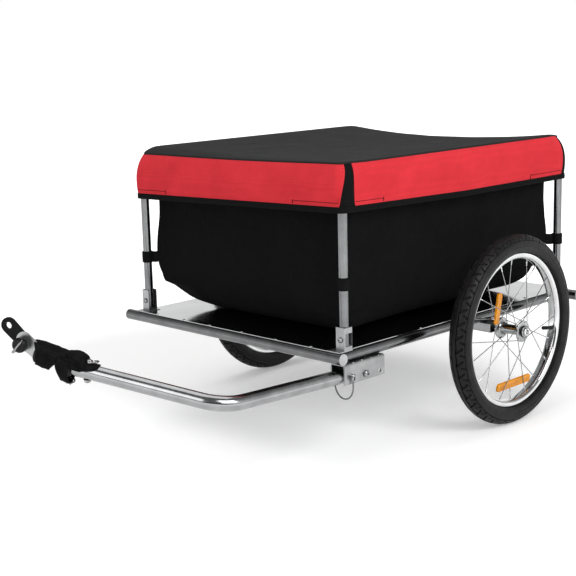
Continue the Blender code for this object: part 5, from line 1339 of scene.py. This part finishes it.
def build_reflector(node, size, at, body):
    """Amber lens with rounded ends and a raised rim."""
    width, height, depth = size
    bm = bmesh.new()
    rings = []
    for grown, z in ((-0.0012, -0.5), (0.0, -0.38), (0.0, 0.30), (-0.0005, 0.44), (-0.0011, 0.5),
                     (-0.0016, 0.5), (-0.0021, 0.40), (-0.0030, 0.40)):
        outline = rounded_rectangle(-width / 2 - grown, width / 2 + grown, height / 2 + grown,
                                    min(width, height) * 0.28 + grown * 0.5, 8, 8, 6)
        rings.append([(x, y, depth * z) for x, y in outline])
    loft(bm, rings, caps=True)
    piece(node + "_lens", bm, AMBER, body, [node], at)


# Building the arm and the hitch
def arm_point(distance):
    """A point of the arm's straight part, at a distance from the cross bolt."""
    pitch = math.radians(ARM_PITCH_DEG)
    return Vector((ARM_BOLT_X + distance * math.cos(pitch), RECEIVER_Y,
                   ARM_BOLT_Z + distance * math.sin(pitch)))


ARM_CORNER = arm_point(ARM_STRAIGHT)
ARM_ONWARD = Vector((math.cos(math.radians(ARM_YAW_DEG)) * math.cos(math.radians(ARM_RISE_DEG)),
                     -math.sin(math.radians(ARM_YAW_DEG)) * math.cos(math.radians(ARM_RISE_DEG)),
                     math.sin(math.radians(ARM_RISE_DEG))))
ARM_END = ARM_CORNER + ARM_ONWARD * ARM_SECOND
ARM_FRAME = Matrix.Translation(ARM_END) @ Euler((0, -math.radians(ARM_RISE_DEG),
                                                 -math.radians(ARM_YAW_DEG))).to_matrix().to_4x4()
COUPLING_FRAME = Matrix.Translation(ARM_END) @ Euler((0, -math.radians(COUPLING_RISE_DEG),
                                                      -math.radians(ARM_YAW_DEG))).to_matrix().to_4x4()


def build_tow_arm():
    """Bent tow arm and the bolt that crosses it."""
    path = bent_path([arm_point(-ARM_PAST_BOLT), ARM_CORNER, ARM_END], ARM_BEND_R, 30)
    piece("tow_arm_tube", pipe(bmesh.new(), path, ARM_R, ARM_WALL, 56), BRIGHT_STEEL, "base",
          ["tow_arm"])
    at = Matrix.Translation(arm_point(0)) @ Matrix.Rotation(-math.pi / 2, 4, "X")
    piece("arm_bolt_set", screw(bmesh.new(), ARM_BOLT_R, 2 * RECEIVER_HALF, at), ZINC_STEEL, "base",
          ["arm_cross_bolt"])


def build_receiver_rivets():
    """Small rivets along the receiver's top flange."""
    bm = bmesh.new()
    low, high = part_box("tow_arm_receiver")
    for x in RECEIVER_RIVETS_X:
        at = Matrix.Translation((x, RECEIVER_Y + RECEIVER_HALF - 0.0026, high.z))
        spun(bm, [(0, 0.0010), (0.0010, 0.0009), (0.0018, 0.0006), (0.0021, 0.0), (0, 0.0)], 20, matrix=at)
    piece("receiver_rivets", bm, CHROME, "base")


def build_lock_ring():
    """The lock pin's wire bail: two straight legs and a round bend below."""
    low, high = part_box("lock_pin_bail")
    middle = INTO_ROW.inverted() @ ((low + high) / 2)
    across = (high.y - low.y) / 2 - LOCK_RING_R
    top, bend = high.z - LOCK_RING_R, low.z + LOCK_RING_R + LOCK_RING_BEND - LOCK_RING_LOWER
    path = [(middle.x, middle.y + across, top), (middle.x, middle.y + across, (top + bend) / 2)]
    path += [(middle.x, middle.y + across * math.cos(t), bend - LOCK_RING_BEND * math.sin(t))
             for t in turns(25, 0, 187.5)]
    path += [(middle.x, middle.y - across, (top + bend) / 2), (middle.x, middle.y - across, top)]
    piece("lock_pin_ring", pipe(bmesh.new(), path, LOCK_RING_R, 0, 14), GREY_STEEL, "lock_bail",
          ["lock_pin_bail"])


def build_hinge_screws():
    """The bolts that the gates' posts turn on."""
    for place, end, post_x in (("front", 1, FRONT_POST_X), ("rear", -1, REAR_POST_X)):
        for side, side_name in ((1, "left"), (-1, "right")):
            at = Matrix.Translation((post_x, side * SIDE_Y, PIVOT_Z))
            at = at @ Matrix.Rotation(end * math.pi / 2, 4, "Y")
            piece(f"{place}_{side_name}_hinge_screw", screw(bmesh.new(), HINGE_BOLT_R, 2 * BRACKET_HALF, at),
                  ZINC_STEEL, "base", [f"{place}_{side_name}_hinge_bolt"])


def build_arm():
    """Bent tow arm, receiver rivets, the lock pin's wire and the hinge bolts."""
    build_tow_arm()
    build_receiver_rivets()
    build_lock_ring()
    build_hinge_screws()


def bend_with_head(made):
    """Bake a piece's placement into its mesh."""
    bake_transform(made)


def sleeve_of(rings, keep_y, keep_z):
    """A closed band of webbing: rings outside, and the same rings drawn in for its inside."""
    inside = [[Vector((p.x, p.y * keep_y, p.z * keep_z)) for p in ring] for ring in rings]
    return loft(bmesh.new(), rings + inside[::-1], loop=True)


def build_coupling_core():
    """Ribbed rubber core, with a waist under the strap."""
    ribs = [(0, COUPLING_FRONT), (COUPLING_R - 0.002, COUPLING_FRONT), (COUPLING_R, COUPLING_FRONT - 0.002)]
    for i in range(COUPLING_RIBS):
        x = COUPLING_FRONT - 0.008 - COUPLING_RIB_PITCH * i
        for depth, ahead in ((0, 0.003), (0.0012, 0.0015), (0.0012, -0.0005), (0, -0.002)):
            waist = math.exp(-((x + ahead - COUPLING_WAIST_AT) / COUPLING_WAIST_REACH) ** 2)
            ribs.append((COUPLING_R - depth - (COUPLING_R - COUPLING_WAIST_R) * waist, x + ahead))
    ribs += [(COUPLING_R, COUPLING_SETBACK + 0.002), (COUPLING_R - 0.002, COUPLING_SETBACK),
             (0, COUPLING_SETBACK)]
    bend_with_head(piece("coupling_core", spun(bmesh.new(), ribs, 48), RUBBER, None,
                         ["flexible_coupling"], COUPLING_FRAME @ Matrix.Rotation(math.pi / 2, 4, "Y")))


def build_front_wrap():
    """Main wrap of webbing round the coupling, slack below."""
    rings = []
    for a, up, down, wide, skew, bow in WRAP_STATIONS:
        ring = []
        for t in turns(36):
            c, s = math.cos(t), math.sin(t)
            reach = (up if s > 0 else down) + 0.0006 * math.sin(3 * t + a * 300)
            ring.append(Vector((a + skew * s + bow * s * s - WRAP_NEAR_BACK * max(0.0, c),
                                wide * abs(c) ** 0.85 * (1 if c > 0 else -1),
                                reach * abs(s) ** 0.85 * (1 if s > 0 else -1))))
        rings.append(ring)
    bend_with_head(piece("coupling_front_wrap", sleeve_of(rings, 0.90, 0.90), WEBBING_CLOTH, None,
                         (), COUPLING_FRAME, sharp_deg=50))


def build_hanging_band():
    """Second turn of the strap, which hangs down behind the main wrap."""
    rings = []
    for share, grown in ((0.0, -0.0004), (0.04, 0.0006), (0.3, 0.0009), (0.7, 0.0009), (0.96, 0.0006),
                         (1.0, -0.0004)):
        ring = []
        for t in turns(48):
            c, s = math.cos(t), math.sin(t)
            low, high = max(0.0, -s), max(0.0, s)
            rear = 0.005 + 0.002 * high - 0.006 * low
            front = BAND_FRONT - BAND_FRONT_RISE * high - BAND_FRONT_DROP * (1 - (1 - low) ** 1.6)
            front -= BAND_NEAR_BACK * max(0.0, c)
            wide = BAND_HALF * (1 - 0.50 * low ** 2) + grown
            ring.append(Vector((rear + (front - rear) * share, wide * abs(c) ** 0.9 * (1 if c > 0 else -1),
                                -BAND_DOWN * low ** 0.75 if s < 0 else (BAND_UP + grown) * s)))
        rings.append(ring)
    piece("coupling_hanging_band", sleeve_of(rings, 0.89, 0.90), WEBBING_CLOTH, "base",
          ["safety_strap"], COUPLING_FRAME, sharp_deg=50)


def build_strap_tail():
    """Tail that leaves the band in a hump, covers the near side and ends under the strap bolt."""
    tilt = math.radians(COUPLING_RISE_DEG - ARM_RISE_DEG)
    tab_r = ARM_R + 2 * GAP + STRAP_CLOTH / 2
    rows = []
    for p, near_deg, far_deg in TAIL_LAP:
        row = []
        for i in range(TAIL_COLUMNS + 1):
            turn = math.radians(near_deg - (near_deg + far_deg) * i / TAIL_COLUMNS)
            row.append((p * math.cos(tilt) + tab_r * math.cos(turn) * math.sin(tilt), tab_r * math.sin(turn),
                        tab_r * math.cos(turn) * math.cos(tilt) - p * math.sin(tilt)))
        rows.append(row)
    for a, top, near_y, near_b in TAIL_HUMP:
        row = []
        for i in range(TAIL_COLUMNS + 1):
            turn = math.radians(90 - 145 * i / TAIL_COLUMNS)
            foot = near_b if turn > 0 else top - 0.010
            row.append((a, near_y * math.sin(turn), foot + (top - foot) * abs(math.cos(turn)) ** 0.75))
        rows.append(row)
    tail = piece("safety_strap_tail", loft(bmesh.new(), rows, around=False), WEBBING_CLOTH, "base",
                 (), COUPLING_FRAME, sharp_deg=60, outward=False)
    thick(tail, STRAP_CLOTH, 0)
    tail.modifiers.new("round", "SUBSURF").render_levels = 1


def build_strap_fittings():
    """The strap's bolt, and the wire keeper and hook on it."""
    grip = 2 * ARM_R + STRAP_CLOTH + 2 * GAP
    at = Matrix.Translation((-STRAP_BOLT_BACK, 0, STRAP_CLOTH / 2 + GAP))
    piece("strap_bolt_set", screw(bmesh.new(), STRAP_BOLT_R * 1.25, grip, at), BRIGHT_STEEL, "base",
          ["strap_bolt"], ARM_FRAME)
    keeper = pipe(bmesh.new(), bent_path(KEEPER_PATH, 0.003, 6), KEEPER_R, 0, 10)
    piece("strap_keeper", keeper, GREY_STEEL, "base", (), ARM_FRAME)
    hook = pipe(bmesh.new(), bent_path(HOOK_PATH, 0.0032, 6), HOOK_R, 0, 12)
    piece("strap_hook", hook, GREY_STEEL, "base", (), COUPLING_FRAME)


def build_coupling():
    """Flexible coupling, the webbing wrapped round it, and the strap's fittings."""
    build_coupling_core()
    build_front_wrap()
    build_hanging_band()
    build_strap_tail()
    build_strap_fittings()


def build_cheek():
    """Plated cheek plate on the near side of the fork, with a round end about the hitch pin."""
    into = (INTO_ROW @ COUPLING_FRAME).inverted()
    face = max((into @ v.co).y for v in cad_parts["hitch_fork"].data.vertices) + GAP / 2
    knob = [into @ v.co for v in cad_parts["hitch_pin_knob"].data.vertices]
    pin_a = sum(p.x for p in knob) / len(knob)
    pin_z = sum(p.z for p in knob) / len(knob) + CHEEK_RAISED
    outline = [(pin_a + CHEEK_R * math.cos(t), pin_z + CHEEK_R * math.sin(t)) for t in turns(25, -80, 192)]
    outline += [(COUPLING_FRONT + 0.0005, CHEEK_HEIGHT / 2), (COUPLING_FRONT + 0.0005, -CHEEK_LOW)]
    rings = [[(a, y, z) for a, z in outline] for y in (face, face + CHEEK_PLATE)]
    made = piece("fork_cheek_plate", loft(bmesh.new(), rings, caps=True), ZINC_STEEL, "hitch_head",
                 (), COUPLING_FRAME)
    rounded(made, 0.0004)


def build_collar():
    """Bright hexagon collar on the hitch pin, between the fork and the knob."""
    axis = (ARM_FRAME.to_3x3() @ Vector((0, 1, 0))).normalized()
    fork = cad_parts["hitch_fork"].data.vertices
    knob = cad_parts["hitch_pin_knob"].data.vertices
    fork_out = max(v.co.dot(axis) for v in fork) + CHEEK_PLATE + GAP
    knob_in = min(v.co.dot(axis) for v in knob) - GAP
    centre = sum((v.co for v in knob), Vector()) / len(knob)
    turn = Vector((0, 0, 1)).rotation_difference(axis).to_matrix().to_4x4()
    at = INTO_ROW.inverted() @ Matrix.Translation(centre - axis * centre.dot(axis)) @ turn
    bm = hexagon(bmesh.new(), COLLAR_R, fork_out, knob_in, at)
    piece("hitch_pin_collar", bm, ZINC_STEEL, "hitch_pin")


def dress_cad():
    """Finishes for the CAD nodes that stay, with their folded edges rounded."""
    brackets = [f"{place}_{side_name}_bracket" for place in ("front", "rear")
                for side_name in ("left", "right")]
    folded = brackets + ["axle_beam", "tow_arm_receiver", "left_axle_socket", "right_axle_socket"]
    for finish, width, names in ((ZINC_STEEL, 0.00045, folded), (SHEET, 0.0, ["floor_plate"]),
                                 (BRIGHT_STEEL, 0.0, ["lock_pin", "hitch_pin_bail"]),
                                 (CHROME, 0.0, ["hitch_pin"]), (ZINC_STEEL, 0.00045, ["hitch_fork"]),
                                 (BLACK_STEEL, 0.0007, ["hitch_eye_plate"]),
                                 (BLACK_PLASTIC, 0.0, ["hitch_pin_knob"])):
        for name in names:
            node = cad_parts[name]
            node.data.materials.clear()
            node.data.materials.append(finish)
            if width:
                rounded(node, width)
    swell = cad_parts["hitch_pin_bail"].modifiers.new("swell", "DISPLACE")
    swell.strength, swell.mid_level = BAIL_DRESSED, 0.0


class Sky(Finish):
    """The world's node tree, with the same helpers as a material's."""

    def __init__(self, world):
        self.tree = world.node_tree


def seen_rays(tree):
    """1 for camera, glossy and transmitted rays, which see the shaded surroundings."""
    rays = tree.node("LightPath")
    mirrored = tree.math("MAXIMUM", rays.outputs["Is Glossy Ray"], rays.outputs["Is Transmission Ray"])
    return tree.math("MAXIMUM", rays.outputs["Is Camera Ray"], mirrored)


def build_floor():
    """Pale round floor that glows more toward its far edge."""
    rings = [[(r * math.cos(t), r * math.sin(t), 0) for t in turns(96)] for r in FLOOR_RINGS]
    bm = loft(bmesh.new(), rings)
    bmesh.ops.remove_doubles(bm, verts=bm.verts, dist=0.000001)
    bmesh.ops.recalc_face_normals(bm, faces=bm.faces)
    mesh = bpy.data.meshes.new("studio_floor")
    bm.to_mesh(mesh)
    bm.free()
    for face in mesh.polygons:
        if face.normal.z < 0:
            face.flip()
    floor = bpy.data.objects.new("studio_floor", mesh)
    floor.location.z = -FLOOR_BELOW
    SCENE.collection.objects.link(floor)
    paint = Finish("pale_floor", 0.9, Specular_IOR_Level=0.1)
    paint.shader.inputs["Base Color"].default_value = (FLOOR_PAINT, FLOOR_PAINT, FLOOR_PAINT, 1)
    paint.shader.inputs["Emission Color"].default_value = (1, 1, 1, 1)
    away = paint.node("VectorMath", operation="LENGTH")
    paint.link(paint.place, away.inputs[0])
    glow = paint.range(away.outputs["Value"], FLOOR_GLOW, 1.0, *FLOOR_FADE)
    paint.link(paint.math("MULTIPLY", glow, seen_rays(paint)), paint.shader.inputs["Emission Strength"])
    floor.data.materials.append(paint.material)


def build_world():
    """Even white light, with surroundings that are seen and mirrored darker overhead and on one side."""
    world = bpy.data.worlds.new("studio")
    SCENE.world = world
    world.use_nodes = True
    sky = Sky(world)
    mix = sky.node("MixShader")
    lit, shown = sky.node("Background"), sky.node("Background")
    lit.inputs["Color"].default_value = shown.inputs["Color"].default_value = (1, 1, 1, 1)
    lit.inputs["Strength"].default_value = WORLD_LIGHT
    apart = sky.node("SeparateXYZ")
    outward = sky.node("TexCoord").outputs["Generated"]
    sky.link(outward, apart.inputs[0])
    toward = sky.node("VectorMath", operation="DOT_PRODUCT")
    sky.link(outward, toward.inputs[0])
    toward.inputs[1].default_value = ROOM_SIDE
    room = sky.range(toward.outputs["Value"], 1.0, ROOM_LIGHT, *ROOM_FADE)
    ceiling = sky.range(apart.outputs["Z"], 1.0, CEILING, *CEILING_FADE)
    sky.link(sky.math("MULTIPLY", room, ceiling), shown.inputs["Strength"])
    sky.link(seen_rays(sky), mix.inputs["Fac"])
    sky.link(lit.outputs[0], mix.inputs[1])
    sky.link(shown.outputs[0], mix.inputs[2])
    sky.link(mix.outputs[0], sky.tree.nodes["World Output"].inputs["Surface"])


def build_lamps():
    """Soft rectangular lamps, aimed at a point over the origin."""
    for name, at, size, watts in LAMPS:
        lamp = bpy.data.lights.new(name, "AREA")
        lamp.shape = "RECTANGLE"
        lamp.size, lamp.size_y = size
        lamp.energy = watts
        made = bpy.data.objects.new(name, lamp)
        made.location = at
        made.rotation_mode = "QUATERNION"
        made.rotation_quaternion = (Vector((0, 0, 0.3)) - Vector(at)).to_track_quat("-Z", "Y")
        SCENE.collection.objects.link(made)


def place_camera():
    """The photograph's camera."""
    view = bpy.data.cameras.new("photo_camera")
    view.lens = CAMERA_LENS
    view.sensor_width = 36.0
    view.clip_start, view.clip_end = 0.05, 200
    camera = bpy.data.objects.new("photo_camera", view)
    right, up = Vector(CAMERA_RIGHT).normalized(), Vector(CAMERA_UP).normalized()
    turn = Matrix((right, up, right.cross(up))).transposed().to_4x4()
    camera.matrix_world = Matrix.Translation(CAMERA_AT) @ turn
    SCENE.collection.objects.link(camera)
    SCENE.camera = camera
    SCENE.view_settings.view_transform = "Standard"


build_floor()
build_world()
build_lamps()
place_camera()
dress_cad()
build_frame()
build_gates()
build_bag()
build_cover()
for number, label in ((1, "left"), (-1, "right")):
    build_tyre(label, number)
    build_wheel(label, number)
build_arm()
build_coupling()
build_cheek()
build_collar()
